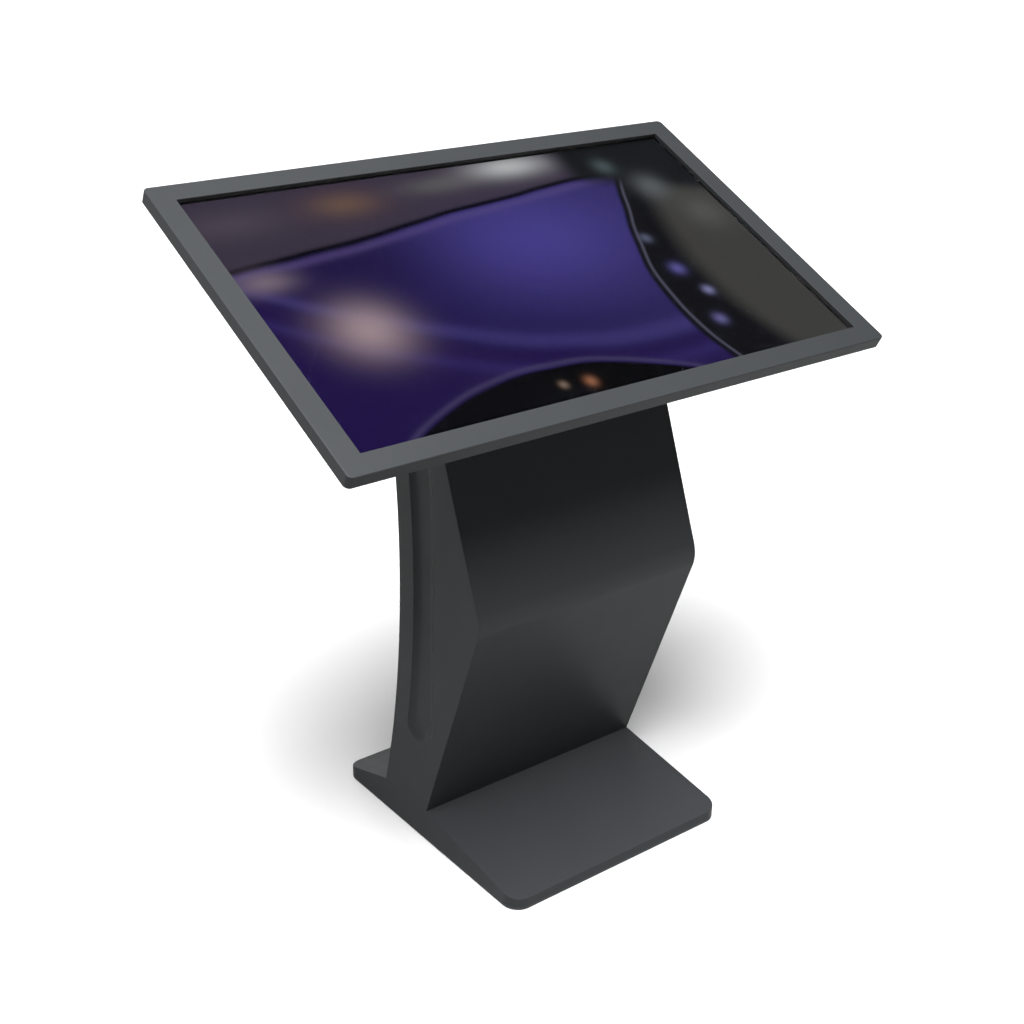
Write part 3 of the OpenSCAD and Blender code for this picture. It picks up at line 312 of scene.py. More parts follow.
class ShapeGraph(Graph):
    """A Geometry Nodes tree that works on points, with a named input for each size"""

    def __init__(self, name, **given):
        super().__init__(bpy.data.node_groups.new(name, "GeometryNodeTree"))
        self.given = {key.replace("_", " "): value for key, value in given.items()}
        face = self.tree.interface
        face.new_socket("Geometry", in_out="OUTPUT", socket_type="NodeSocketGeometry")
        face.new_socket("Points", in_out="INPUT", socket_type="NodeSocketGeometry")
        for key, value in self.given.items():
            kind = "NodeSocketInt" if isinstance(value, int) else "NodeSocketFloat"
            face.new_socket(key, in_out="INPUT", socket_type=kind)
        self.entry = self.tree.nodes.new("NodeGroupInput")
        self.points = Value(self, self.entry.outputs["Points"])

    def vector(self, x=0.0, y=0.0, z=0.0):
        return self.add("ShaderNodeCombineXYZ", {"X": x, "Y": y, "Z": z})

    def index(self):
        return self.add("GeometryNodeInputIndex")

    def joined(self, *parts):
        whole = self.add("GeometryNodeJoinGeometry")
        for part in parts:
            self.tree.links.new(part.socket, whole.socket.node.inputs[0])
        return whole

    def moved(self, shape, x=0.0, z=0.0):
        way = self.vector(x, 0.0, z)
        return self.add("GeometryNodeTransform", {"Geometry": shape, "Translation": way})

    def cone(self, low_radius, high_radius, low, height, sides=32):
        """A frustum that stands on z = low"""
        shape = self.add("GeometryNodeMeshCone", {
            "Vertices": sides, "Radius Bottom": low_radius, "Radius Top": high_radius, "Depth": height})
        return self.moved(shape, z=low)

    def boolean(self, operation, first, second):
        whole = self.add("GeometryNodeMeshBoolean", operation=operation, solver="EXACT")
        inputs = whole.socket.node.inputs
        first_input = "Mesh 1" if operation == "DIFFERENCE" else "Mesh 2"
        self.tree.links.new(first.socket, inputs[first_input])
        self.tree.links.new(second.socket, inputs["Mesh 2"])
        return whole

    def copies(self, points, shape, turn=None, scale=None):
        """The shape at each point, as real geometry"""
        shape = self.add("GeometryNodeInstanceOnPoints", {
            "Points": points, "Instance": shape, "Rotation": turn, "Scale": scale})
        return self.add("GeometryNodeRealizeInstances", {"Geometry": shape})

    def row(self, count, step=None):
        """Points in a row from the origin"""
        return self.add("GeometryNodeMeshLine", {
            "Count": count, "Offset": step if step is not None else (0.0, 0.0, 0.0)})

    def circle(self, radius, sides):
        return self.add("GeometryNodeCurvePrimitiveCircle", {"Resolution": sides, "Radius": radius})

    def line(self, start, end):
        return self.add("GeometryNodeCurvePrimitiveLine", {"Start": start, "End": end})

    def wire(self, path, radius, sides=8):
        ring = self.circle(radius, sides)
        return self.add("GeometryNodeCurveToMesh", {
            "Curve": path, "Profile Curve": ring, "Fill Caps": True})

    def mesh(self, shape, material, points=((0, 0, 0),), edges=(), place=Matrix()):
        """The plain mesh that the tree makes of some points, moved to its place"""
        shape = self.add("GeometryNodeRealizeInstances", {"Geometry": shape})
        shape = self.add("GeometryNodeSetMaterial", {
            "Geometry": shape, "Material": MATERIALS[material]})
        leave = self.tree.nodes.new("NodeGroupOutput")
        self.tree.links.new(shape.socket, leave.inputs[0])
        start = bpy.data.meshes.new("points")
        start.from_pydata([tuple(p) for p in points], list(edges), [])
        work = linked("points", start)
        modifier = work.modifiers.new("Shape", "NODES")
        modifier.node_group = self.tree
        for item in self.tree.interface.items_tree:
            if item.name in self.given:
                modifier[item.identifier] = self.given[item.name]
        result = evaluated(work)
        mended(result)
        result.transform(place)
        return finished(result)


def shape_graph(name, **given):
    """A Geometry Nodes graph, and a value for each of its named sizes"""
    graph = ShapeGraph(name, **given)
    return (graph, *(Value(graph, graph.entry.outputs[key]) for key in graph.given))


def new_material(name, **sockets):
    """A material with a Principled shader, and its graph"""
    material = bpy.data.materials.new(name)
    material.use_nodes = True
    graph = Graph(material.node_tree)
    graph.shader = graph.tree.nodes["Principled BSDF"]
    set_shader(graph, **sockets)
    graph.place = graph.add("ShaderNodeTexCoord", output="Object")
    return material, graph


def set_shader(graph, **sockets):
    for key, value in sockets.items():
        socket = graph.shader.inputs[key.replace("_", " ").title().replace("Ior", "IOR")]
        if isinstance(value, (tuple, list)) and len(value) == 3:
            value = (*value, 1.0)
        graph.put(socket, value)


def powder_coat(name, colour, roughness, grain=1.0):
    """Satin powder coat: a fine orange peel, a slight unevenness of tone and a few dull patches"""
    material, g = new_material(name, ior=1.16, specular_ior_level=0.5)
    tone = g.noise(g.place, 6.0, 3.0)
    peel = g.noise(g.place, 620.0, 2.0, 0.55)
    grit = g.noise(g.place, 2600.0, 1.0)
    cloud = g.noise(g.place, 17.0, 3.0)
    shade = g.shades(colour, 0.92, 1.10, tone * 0.7 + peel * 0.3)
    fleck = g.ease(grit, 0.66, 0.80)
    shade = g.mix(shade, tuple(min(1.0, c * 1.9 + 0.01) for c in colour), fleck * 0.22)
    set_shader(g, base_color=shade, roughness=roughness - 0.05 + cloud * 0.10 + peel * 0.04,
               normal=g.bump(peel * 0.7 + grit * 0.3, 0.00010 * grain, 0.5))
    return material


def zinc(name, colour=(0.30, 0.305, 0.31)):
    """Galvanised sheet with its faint spangle"""
    material, g = new_material(name, metallic=1.0)
    spangle = g.add("ShaderNodeTexVoronoi", {"Vector": g.place, "Scale": 90.0}, "Color")
    level = g.add("ShaderNodeSeparateColor", {0: spangle})
    fine = g.noise(g.place, 400.0, 3.0)
    set_shader(g, base_color=g.shades(colour, 0.78, 1.0, level * 0.6 + fine * 0.4),
               roughness=0.30 + level * 0.16 + fine * 0.08,
               normal=g.bump(fine, 0.00003, 0.4))
    return material


def turned_metal(name, colour, roughness):
    """Plated or turned metal with fine tool marks"""
    material, g = new_material(name, metallic=1.0)
    marks = g.noise(g.mapped(Scale=(300.0, 300.0, 2600.0)), 1.0, 2.0)
    smear = g.noise(g.place, 120.0, 3.0)
    set_shader(g, base_color=g.shades(colour, 0.85, 1.0, smear),
               roughness=roughness + marks * 0.10 + smear * 0.05,
               normal=g.bump(marks, 0.00002, 0.3))
    return material


def moulded_plastic(name, colour, roughness, texture=420.0):
    """Moulded plastic with a spark-eroded grain"""
    material, g = new_material(name, specular_ior_level=0.4)
    grain = g.noise(g.place, texture * 3, 2.0, 0.6)
    tone = g.noise(g.place, 14.0, 2.0)
    set_shader(g, base_color=g.shades(colour, 0.88, 1.12, tone),
               roughness=roughness - 0.05 + grain * 0.12,
               normal=g.bump(grain, 0.00005, 0.45))
    return material


def rubber_material(name):
    """Matt rubber with a little dust in its grain"""
    material, g = new_material(name, specular_ior_level=0.25)
    grain = g.noise(g.place, 900.0, 3.0, 0.6)
    dust = g.ease(g.noise(g.place, 40.0, 4.0), 0.5, 0.8)
    set_shader(g, base_color=g.mix((0.012, 0.012, 0.012), (0.05, 0.048, 0.045), dust * 0.35),
               roughness=0.72 + grain * 0.2, normal=g.bump(grain, 0.00008, 0.6))
    return material


def board_material(name):
    """Green circuit board with its tracks and pads"""
    material, g = new_material(name, specular_ior_level=0.5)
    turned = g.mapped(Rotation=(-HEAD_TILT, 0.0, 0.0))
    tracks = g.add("ShaderNodeTexBrick", {
        "Vector": turned, "Scale": 260.0, "Mortar Size": 0.12, "Mortar Smooth": 0.3}, "Fac",
        offset=0.5, squash=1.0)
    blocks = g.ease(g.noise(turned, 55.0, 1.0), 0.48, 0.54)
    pads = g.add("ShaderNodeTexVoronoi", {"Vector": turned, "Scale": 160.0}, feature="DISTANCE_TO_EDGE")
    pad = (1 - g.ease(pads, 0.02, 0.06)) * (1 - blocks)
    green = g.mix((0.004, 0.045, 0.018), (0.010, 0.095, 0.036), tracks * blocks)
    set_shader(g, base_color=g.mix(green, (0.55, 0.50, 0.36), pad * 0.35),
               roughness=0.32 + tracks * 0.12, metallic=pad * 0.3,
               normal=g.bump(tracks * blocks, 0.00004, 0.5))
    return material


def glass_material(name):
    """Toughened glass with an anti-reflection coating and a trace of wiping marks"""
    material, g = new_material(name, base_color=(0.97, 0.98, 0.985), transmission_weight=1.0,
                               ior=1.10, specular_ior_level=0.1)
    wiped = g.noise(g.mapped(Scale=(2.0, 14.0, 14.0)), 1.0, 3.0)
    set_shader(g, roughness=g.ease(wiped, 0.45, 0.8) * 0.03)
    return material


def picture_material(name, brightness):
    """The screen's picture: folds of violet light with soft lamps, a pale corner and a dark edge"""
    material, g = new_material(name, base_color=(0.0006, 0.0006, 0.0008), roughness=0.5,
                               specular_ior_level=0.0, emission_strength=brightness)
    origin = -(Matrix.Rotation(-HEAD_TILT, 4, "X") @ HEAD_MIDDLE)
    flat = g.mapped(Rotation=(-HEAD_TILT, 0.0, 0.0), Location=origin)
    x = g.add("ShaderNodeSeparateXYZ", {0: flat})
    y = g.other(x, "Y")
    # x runs from -1 to 1 across the picture, and y from -1 to 1 up it
    x = x / (OPENING[0] / 2)
    y = y / (OPENING[1] / 2)
    drift = g.noise(flat, 3.2, 2.0) - 0.5
    picture = None

    def paint(colour, amount):
        """Lays a colour over the picture"""
        nonlocal picture
        picture = g.mix(picture, colour, amount)

    def fade(away):
        """1 where a squared distance is 0, and less further off"""
        return math.exp(-1) ** away

    def lamp(cx, cy, rx, ry):
        """A soft round light"""
        u = (x - cx) / rx
        v = (y - cy) / ry
        return fade(u * u + v * v)

    def over(edge, soft):
        """0 below a line across the picture, given as a height at each x, and 1 above it"""
        return g.ease(y - edge + drift * 0.10, -soft, soft)

    def line(edge, width):
        """1 along a line across the picture, given as a height at each x"""
        away = (y - edge + drift * 0.10) / width
        return fade(away * away)

    # A violet sheet: deep blue at its lower left, paler and greyer towards its upper right
    picture = g.mix((0.006, 0.002, 0.044), (0.026, 0.020, 0.098), g.ease(x * 0.8 + y * 0.5, -0.95, 0.75))
    swell = (x - 0.12) * (x - 0.12) * 5.0 + (y - 0.25) * (y - 0.25) * 4.0
    paint((0.075, 0.060, 0.330), fade(swell) * 0.6)
    hollow_left = (x + 0.62) * (x + 0.62) * 9.0 + (y + 0.02 + x * 0.9) * (y + 0.02 + x * 0.9) * 4.0
    paint((0.010, 0.004, 0.034), fade(hollow_left) * 0.7)
    # A ridge that runs down it, lit above and shaded below
    ridge = -0.72 + 0.55 * (x - 0.30) * (x - 0.30)
    paint((0.070, 0.055, 0.240), line(ridge + 0.09, 0.07) * 0.35)
    paint((0.014, 0.006, 0.058), (1 - over(ridge, 0.05)) * 0.75)
    paint((0.050, 0.035, 0.190), line(ridge - 0.16 + x * 0.05, 0.06) * 0.25)
    # A second sheet behind it, past a thin dark crease
    crease = 0.62 + 0.215 * x
    paint((0.040, 0.030, 0.048), over(crease, 0.02) * 0.95)
    paint((0.085, 0.060, 0.200), line(crease - 0.06, 0.035) * 0.5)
    paint((0.001, 0.001, 0.004), line(crease, 0.022))
    for cx, cy, rx, ry, colour, amount in LAMPS:
        paint(colour, lamp(cx, cy, rx, ry) * amount)
    # Dark shapes at the foot and at the right, with a pale rim and small lights
    hollow = -0.72 - 0.9 * (x + 0.25) * (x + 0.25)
    paint((0.055, 0.045, 0.110), line(hollow + 0.03, 0.02) * 0.6)
    paint((0.001, 0.001, 0.0015), 1 - over(hollow, 0.015))
    edge = x - 0.42 - 0.16 * (y + 0.55) * (y + 0.55) + drift * 0.12
    paint((0.004, 0.004, 0.006), g.ease(edge, -0.012, 0.012))
    rim = (edge - 0.028) / 0.007
    paint((0.10, 0.10, 0.15), fade(rim * rim) * 0.6)
    paint((0.045, 0.044, 0.041), g.ease(edge - 0.16 + 0.10 * y, -0.03, 0.10))
    corner = g.ease(y - 0.62 + 0.5 * (x - 0.6), -0.05, 0.12) * g.ease(x, 0.42, 0.56)
    paint((0.006, 0.007, 0.008), corner)
    for cx, cy, reach, colour in SMALL_LIGHTS:
        paint(colour, lamp(cx, cy, reach, reach * 1.7) * 0.85)
    set_shader(g, emission_color=picture)
    return material


MATERIALS = {}


def build_materials():
    c = colours()
    coat = tuple(c.coat)
    MATERIALS.update({
        "coat": powder_coat("charcoal_powder_coat", coat, c.coat_roughness),
        "foot_steel": powder_coat("foot_plate_coat", tuple(v * 1.6 for v in coat), 0.36, 1.4),
        "frame_steel": powder_coat("frame_primer", (0.10, 0.105, 0.11), 0.55, 2.0),
        "zinc": zinc("galvanised_sheet"),
        "chrome": turned_metal("chrome_plate", (0.50, 0.50, 0.515), 0.12),
        "plain_steel": turned_metal("zinc_plated_steel", (0.33, 0.335, 0.34), 0.28),
        "black_plastic": moulded_plastic("black_plastic", (0.016, 0.016, 0.017), 0.45),
        "grey_plastic": moulded_plastic("grey_plastic", (0.30, 0.31, 0.32), 0.5),
        "sensor": moulded_plastic("sensor_plastic", (0.0035, 0.0035, 0.004), 0.55),
        "rubber": rubber_material("rubber"),
        "board": board_material("circuit_board"),
        "glass": glass_material("toughened_glass"),
        "picture": picture_material("screen_picture", c.screen_light),
    })


# -------- mesh helpers


def linked(name, data):
    """A new object in the scene"""
    new = bpy.data.objects.new(name, data)
    bpy.context.scene.collection.objects.link(new)
    return new


def add_piece(name, mesh, material, nodes=(), body="kiosk"):
    """Puts a finished mesh in the scene as a piece that rides on a body"""
    piece = linked(name, mesh)
    mesh.materials.clear()
    mesh.materials.append(MATERIALS[material])
    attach(piece, body)
    if nodes:
        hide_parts(*nodes)


def evaluated(work):
    """The plain mesh that an object's modifiers make, in place of the object"""
    bpy.context.view_layer.update()
    graph = bpy.context.evaluated_depsgraph_get()
    result = bpy.data.meshes.new_from_object(
        work.evaluated_get(graph), preserve_all_data_layers=True, depsgraph=graph)
    bpy.data.objects.remove(work)
    return result


def finished(mesh, sharp=35.0, bevel=None, segments=3):
    """The mesh with rounded edges, smooth faces and flats that stay flat"""
    work = linked("work", mesh)
    mesh.shade_smooth()
    if bevel:
        rounding = work.modifiers.new("Rounding", "BEVEL")
        rounding.width = bevel
        rounding.segments = segments
        rounding.limit_method = "ANGLE"
        rounding.angle_limit = math.radians(sharp)
        rounding.miter_outer = "MITER_ARC"
        rounding.use_clamp_overlap = True
    mesh.set_sharp_from_angle(angle=math.radians(180 if bevel else sharp))
    flats = work.modifiers.new("Flats", "WEIGHTED_NORMAL")
    flats.keep_sharp = True
    flats.weight = 90
    return evaluated(work)


def mended(mesh, gap=1e-6, flats=False):
    """Merges a mesh's doubled points, then makes its flats whole or turns its faces outwards"""
    shape = bmesh.new()
    shape.from_mesh(mesh)
    bmesh.ops.remove_doubles(shape, verts=shape.verts, dist=gap)
    if flats:
        bmesh.ops.dissolve_limit(
            shape, angle_limit=math.radians(0.15), verts=shape.verts, edges=shape.edges)
    else:
        bmesh.ops.recalc_face_normals(shape, faces=shape.faces)
    shape.to_mesh(mesh)
    shape.free()
    return mesh


def mesh_of(points, faces):
    mesh = bpy.data.meshes.new("piece")
    mesh.from_pydata([tuple(p) for p in points], [], faces)
    return mended(mesh)


def loft(loops, closed_rows=False):
    """Points and faces of a skin through closed loops of equally many points"""
    n = len(loops[0])
    rows = len(loops)
    faces = []
    for i in range(rows if closed_rows else rows - 1):
        for j in range(n):
            a, b = i * n + j, i * n + (j + 1) % n
            c, d = (i + 1) % rows * n + (j + 1) % n, (i + 1) % rows * n + j
            faces.append((a, b, c, d))
    if not closed_rows:
        faces.append(tuple(range(n))[::-1])
        faces.append(tuple((rows - 1) * n + j for j in range(n)))
    return [p for loop in loops for p in loop], faces


def round_node(node, name, width, body="kiosk", segments=2, sharp=35.0):
    """Replaces a CAD node with the same shape, its edges rounded"""
    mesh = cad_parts[node].data.copy()
    mesh.materials.clear()
    mesh = finished(mended(mesh, 2e-6, flats=True), sharp, width, segments)
    add_piece(name, mesh, FINISH_OF.get(node, "coat"), [node], body)


def round_nodes(*rows):
    """Rounds a table's nodes: node, piece, edge radius, and then body and segments if not the usual"""
    for row in rows:
        round_node(*row)


def rounded_rectangle(width, height, radius, steps=8):
    points = []
    for corner, (sx, sy) in enumerate(((1, 1), (-1, 1), (-1, -1), (1, -1))):
        for i in range(steps + 1):
            a = math.radians(90 * corner + 90 * i / steps)
            points.append((sx * (width / 2 - radius) + radius * math.cos(a),
                           sy * (height / 2 - radius) + radius * math.sin(a)))
    return points


# -------- column outline


def ease_in(distance, width):
    """How far the flute has sunk at a distance inside its edge, from 0 to 1"""
    share = np.clip(np.asarray(distance) / width, 0, 1)
    return 1 - (1 - share) ** 2


def back_y(z):
    return BACK_CENTRE[0] - np.sqrt(BACK_RADIUS ** 2 - (np.asarray(z) - BACK_CENTRE[1]) ** 2)


def top_z(y):
    return TOP_AT_0 + np.asarray(y) * TOP_RISE


def knee_corner(inset):
    turn = (UPPER_LEAN - LOWER_LEAN) / 2
    half = (math.pi - LOWER_LEAN - UPPER_LEAN) / 2
    reach = inset / math.sin(half)
    return KNEE[0] + math.cos(turn) * reach, KNEE[1] - math.sin(turn) * reach


KNEE_CENTRE = knee_corner(KNEE_RADIUS)


def front_y(z, inset=0.0):
    """Where the bent front is at the height z, `inset` inside its surface"""
    z = np.asarray(z, float)
    radius = KNEE_RADIUS - inset
    lower = FOOT_FRONT_Y - (z - FOOT_TOP) * math.tan(LOWER_LEAN) + inset / math.cos(LOWER_LEAN)
    corner = knee_corner(inset)
    upper = corner[0] + (z - corner[1]) * math.tan(UPPER_LEAN)
    bend = KNEE_CENTRE[0] - np.sqrt(np.maximum(radius ** 2 - (z - KNEE_CENTRE[1]) ** 2, 0))
    low = KNEE_CENTRE[1] - radius * math.sin(LOWER_LEAN)
    high = KNEE_CENTRE[1] + radius * math.sin(UPPER_LEAN)
    return np.where(z < low, lower, np.where(z > high, upper, bend))


def between(first, last, steps):
    """Even steps from one point to another, the last point left out"""
    first, last = np.array(first), np.array(last)
    return [tuple(first + (last - first) * i / steps) for i in range(steps)]


def front_path(inset, arc_steps=20, flat_steps=6):
    """Points [y, z] up the bent front"""
    radius = KNEE_RADIUS - inset
    arc = [(KNEE_CENTRE[0] + radius * math.cos(a), KNEE_CENTRE[1] + radius * math.sin(a))
           for a in np.linspace(math.pi + LOWER_LEAN, math.pi - UPPER_LEAN, arc_steps + 1)]
    corner = knee_corner(inset)
    low = (float(front_y(FOOT_TOP, inset)), FOOT_TOP)
    high_z = (TOP_AT_0 + TOP_RISE * (corner[0] - corner[1] * math.tan(UPPER_LEAN))) / (
        1 - TOP_RISE * math.tan(UPPER_LEAN))
    high = (corner[0] + (high_z - corner[1]) * math.tan(UPPER_LEAN), high_z)
    return between(low, arc[0], flat_steps) + arc + between(high, arc[-1], flat_steps)[::-1]


def flute_low(y):
    front, rear, tall, short = FLUTE_END
    away = FLUTE_FRONT_Y + front - np.asarray(y)
    u = np.where(away > 0, away / front, -away / rear)
    return FLUTE_LOW_Z + np.where(away > 0, tall, short) * (1 - np.sqrt(np.maximum(0, 1 - u * u)))


def flute_front(z):
    lead = KNEE[0] + (np.asarray(z) - KNEE[1]) * math.tan(UPPER_LEAN) + FLUTE_MARGIN - FLUTE_FRONT_Y
    return FLUTE_FRONT_Y + (lead + np.sqrt(lead ** 2 + FLUTE_BEND ** 2)) / 2


def flute_rear(z):
    return back_y(z) - FLUTE_MARGIN


def flute_sink(y, z, depth):
    front, rear = flute_front(z), flute_rear(z)
    return (depth * ease_in(y - front, np.minimum(FLUTE_SLOPE, rear - front))
            * ease_in(rear - y, FLUTE_STEP) * ease_in(z - flute_low(y), FLUTE_SCOOP))


def side_rows():
    """Heights of the side panel's level rows: close together round the flute's end and the knee"""
    bands = [np.linspace(low, high, count, endpoint=False)
             for (low, count), (high, _) in zip(ROW_BANDS, ROW_BANDS[1:])]
    return np.concatenate([*bands, [ROW_BANDS[-1][0]]])


def side_columns():
    """Part of the panel and share across it: before the flute, across it, and behind it"""
    across = np.sort(np.concatenate([np.linspace(0, 1, FLUTE_COLUMNS + 1), EXTRA_COLUMNS]))
    edges = np.linspace(0, 1, EDGE_COLUMNS + 1)
    return [(0, s) for s in edges[:-1]] + [(1, s) for s in across[:-1]] + [(2, s) for s in edges]


def side_grid(edge):
    """The side panel's points [y, z] in rows, `edge` inside its outline"""
    rows = side_rows()
    columns = side_columns()

    def place(z, part, share):
        first = front_y(z, edge)
        rear = flute_rear(z)
        stops = (first, max(flute_front(z), first + 0.2 * (rear - first)), rear, back_y(z) - edge)
        return stops[part] + (stops[part + 1] - stops[part]) * share

    grid = [[(float(place(z, *c)), float(z)) for c in columns] for z in rows]
    for i in range(1, SLANTED_ROWS + 1):
        row = []
        for c in columns:
            z = rows[-1]
            for _ in range(12):
                z = rows[-1] + (float(top_z(place(z, *c))) - edge - rows[-1]) * i / SLANTED_ROWS
            row.append((float(place(z, *c)), float(z)))
        grid.append(row)
    return np.array(grid)


def side_mesh(side, edge, depth):
    """One side panel: its fluted face, its rounded edge and its inner face"""
    grid = side_grid(edge)
    rows, columns = grid.shape[:2]
    sink = flute_sink(grid[..., 0], grid[..., 1], depth)
    outer = np.stack([-COLUMN_HALF + sink, grid[..., 0], grid[..., 1]], -1)
    border = ([(0, j) for j in range(columns)] + [(i, columns - 1) for i in range(1, rows)]
              + [(rows - 1, j) for j in range(columns - 2, -1, -1)]
              + [(i, 0) for i in range(rows - 2, 0, -1)])
    rim = np.array([grid[i, j] for i, j in border])
    along = np.roll(rim, -1, 0) - rim
    along /= np.linalg.norm(along, axis=1)[:, None]
    normal = np.stack([along[:, 1], -along[:, 0]], -1)
    before = np.roll(normal, 1, 0)
    out = (normal + before) / (1 + (normal * before).sum(1))[:, None]
    rim_x = np.array([outer[i, j][0] for i, j in border])
    points = [outer.reshape(-1, 3), outer.reshape(-1, 3) + (SIDE_SHEET, 0, 0)]
    step = rows * columns
    for angle in np.radians([30, 60, 90]):
        spread = rim + out * edge * math.sin(angle)
        points.append(np.column_stack([rim_x + edge * (1 - math.cos(angle)), spread]))
    points.append(np.column_stack([rim_x + SIDE_SHEET, rim + out * edge]))
    points = np.concatenate(points)
    faces = []
    for i in range(rows - 1):
        for j in range(columns - 1):
            a = i * columns + j
            b = a + columns
            faces.append((a, b, b + 1, a + 1))
            faces.append((step + a, step + a + 1, step + b + 1, step + b))
    n = len(border)
    first = [i * columns + j for i, j in border]
    rings = [first, *([2 * step + k * n + m for m in range(n)] for k in range(4)), [step + k for k in first]]
    for low, high in zip(rings, rings[1:]):
        faces += [(low[m], low[(m + 1) % n], high[(m + 1) % n], high[m]) for m in range(n)]
    if side > 0:
        points = points * (-1, 1, 1)
    return mesh_of(points, faces)


def band_mesh(path_at, section):
    """A strip along a path: section holds [x, inset] corners, and path_at gives the path at an inset"""
    paths = {inset: path_at(inset) for _, inset in section}
    count = len(next(iter(paths.values())))
    loops = [[(x, *paths[inset][i]) for x, inset in section] for i in range(count)]
    return mesh_of(*loft(loops))


def strip_section(half, thick, radius):
    """Corners [x, inset] of a sheet's section, the two at its face rounded"""
    last = [(half - radius * (1 - math.sin(a)), radius * (1 - math.cos(a)))
            for a in np.radians([0, 30, 60, 90])]
    first = [(-x, inset) for x, inset in last]
    return first + [(-half, thick), (half, thick)] + last[::-1]


# -------- repeated shapes


def screw_mesh(points, screw, place):
    """Button-head screws with hexagon sockets: each head stands on its point, along the place's z"""
    g, radius, height, reach = shape_graph(
        "button_head_screws", Head_radius=screw[0], Head_height=screw[1], Length=screw[2])
    head = g.cone(radius, radius * 0.62, 0.0, height, 28)
    socket = g.cone(radius * 0.34, radius * 0.34, height * 0.35, height, 6)
    shank = g.cone(radius * 0.5, radius * 0.5, reach * -1.0, reach, 20)
    shape = g.joined(g.boolean("DIFFERENCE", head, socket), shank)
    return g.mesh(g.copies(g.points, shape), "plain_steel", points, place=place)


def guard_mesh(place, wire):
    """A fan guard: wire rings, a cross of wires under them, and an eyelet at each end of the cross"""
    g, first, pitch, count, thick, reach, eyelet = shape_graph(
        "wire_fan_guard", First_ring=0.012, Ring_pitch=0.009, Rings=4, Wire=wire, Reach=0.0474, Eyelet=0.0030)
    radius = thick / 2
    size = first + g.index() * pitch
    rings = g.copies(g.row(count), g.circle(1.0, 72), scale=g.vector(size, size, 1.0))
    arm = g.line(g.vector(0.0), g.vector(reach))
    loop = g.moved(g.circle(eyelet, 24), x=reach + eyelet)
    turn = g.vector(0.0, 0.0, math.pi / 4 + g.index() * (math.pi / 2))
    cross = g.copies(g.row(4), g.joined(arm, loop), turn=turn)
    return g.mesh(g.wire(g.joined(rings, cross), radius), "plain_steel", place=place)


def rotor_mesh(place, blades):
    """A fan's rotor: a hub with a chamfered cap, its shaft, and swept, twisted blades"""
    g, hub, tip, count, chord, thick, low, height = shape_graph(
        "fan_rotor", Hub=0.015, Tip=0.0358, Blades=blades, Chord=0.016, Thick=0.0012, Low=0.003, Height=0.015)
    sheet = g.add("GeometryNodeMeshGrid", {
        "Size X": 1.0, "Size Y": 1.0, "Vertices X": 9, "Vertices Y": 7})
    place_x = g.add("ShaderNodeSeparateXYZ", {0: g.add("GeometryNodeInputPosition")})
    # u runs from 0 at the hub to 1 at the tip, and v from -0.5 to 0.5 along the blade's chord
    u = place_x + 0.5
    v = g.other(place_x, "Y")
    buried = 0.0008
    radius = hub - buried + u * (tip - hub + buried)
    angle = v * chord / radius + u * u * 0.32
    rise = low + height * 0.5 + v * height * (0.86 - u * 0.34) + (v * v - 0.25) * -0.006
    position = g.vector(radius * g.maths_of("COSINE", angle), radius * g.maths_of("SINE", angle), rise)
    sheet = g.add("GeometryNodeSetPosition", {"Geometry": sheet, "Position": position})
    raised = g.add("GeometryNodeExtrudeMesh", {
        "Mesh": sheet, "Offset Scale": thick, "Individual": False})
    under = g.add("GeometryNodeFlipFaces", {"Mesh": sheet})
    turn = g.vector(0.0, 0.0, g.index() * (2 * math.pi) / count)
    fan = g.copies(g.row(count), g.joined(raised, under), turn=turn)
    cap = 0.0012
    boss = g.boolean("UNION", g.cone(hub - cap, hub, low, cap, 48),
                     g.cone(hub, hub, low + cap, height - cap, 48))
    shaft = g.cone(0.002, 0.002, 0.0005, 0.0035, 24)
    return g.mesh(g.joined(fan, boss, shaft), "black_plastic", place=place)


def pad_mesh():
    """Rubber pads with chamfered rims and a round hollow, in a grid under the foot"""
    g, radius, height, chamfer, hollow = shape_graph(
        "rubber_pads", Radius=0.016, Height=PAD_HEIGHT, Chamfer=0.0005, Hollow=0.006)
    low = g.cone(radius - chamfer, radius, 0.0, chamfer, 48)
    pad = g.boolean("UNION", low, g.cone(radius, radius, chamfer, height - chamfer, 48))
    pad = g.boolean("DIFFERENCE", pad, g.cone(hollow, hollow * 0.9, -0.001, 0.0018, 32))
    points = [(x * PAD_AT[0], y * PAD_AT[1], 0) for x in (-1, 0, 1) for y in (-1, 0, 1)]
    return g.mesh(g.copies(g.points, pad), "rubber", points)


def seal_mesh(side):
    """A seal of three soft tubes that follows the curved back"""
    g, radius, pitch = shape_graph("tube_seal", Tube=0.00125, Pitch=0.0085)
    path = g.add("GeometryNodeMeshToCurve", {"Mesh": g.points})
    path = g.copies(g.row(3, g.vector(pitch)), path)
    start = min(side * SEAL_X, side * (SEAL_X - SEAL_WIDTH))
    points = [(start, float(back_y(z)) - SEAL_IN, float(z)) for z in np.linspace(SEAL_LOW, SEAL_HIGH, 41)]
    edges = [(i, i + 1) for i in range(len(points) - 1)]
    return g.mesh(g.wire(path, radius, 12), "rubber", points, edges)


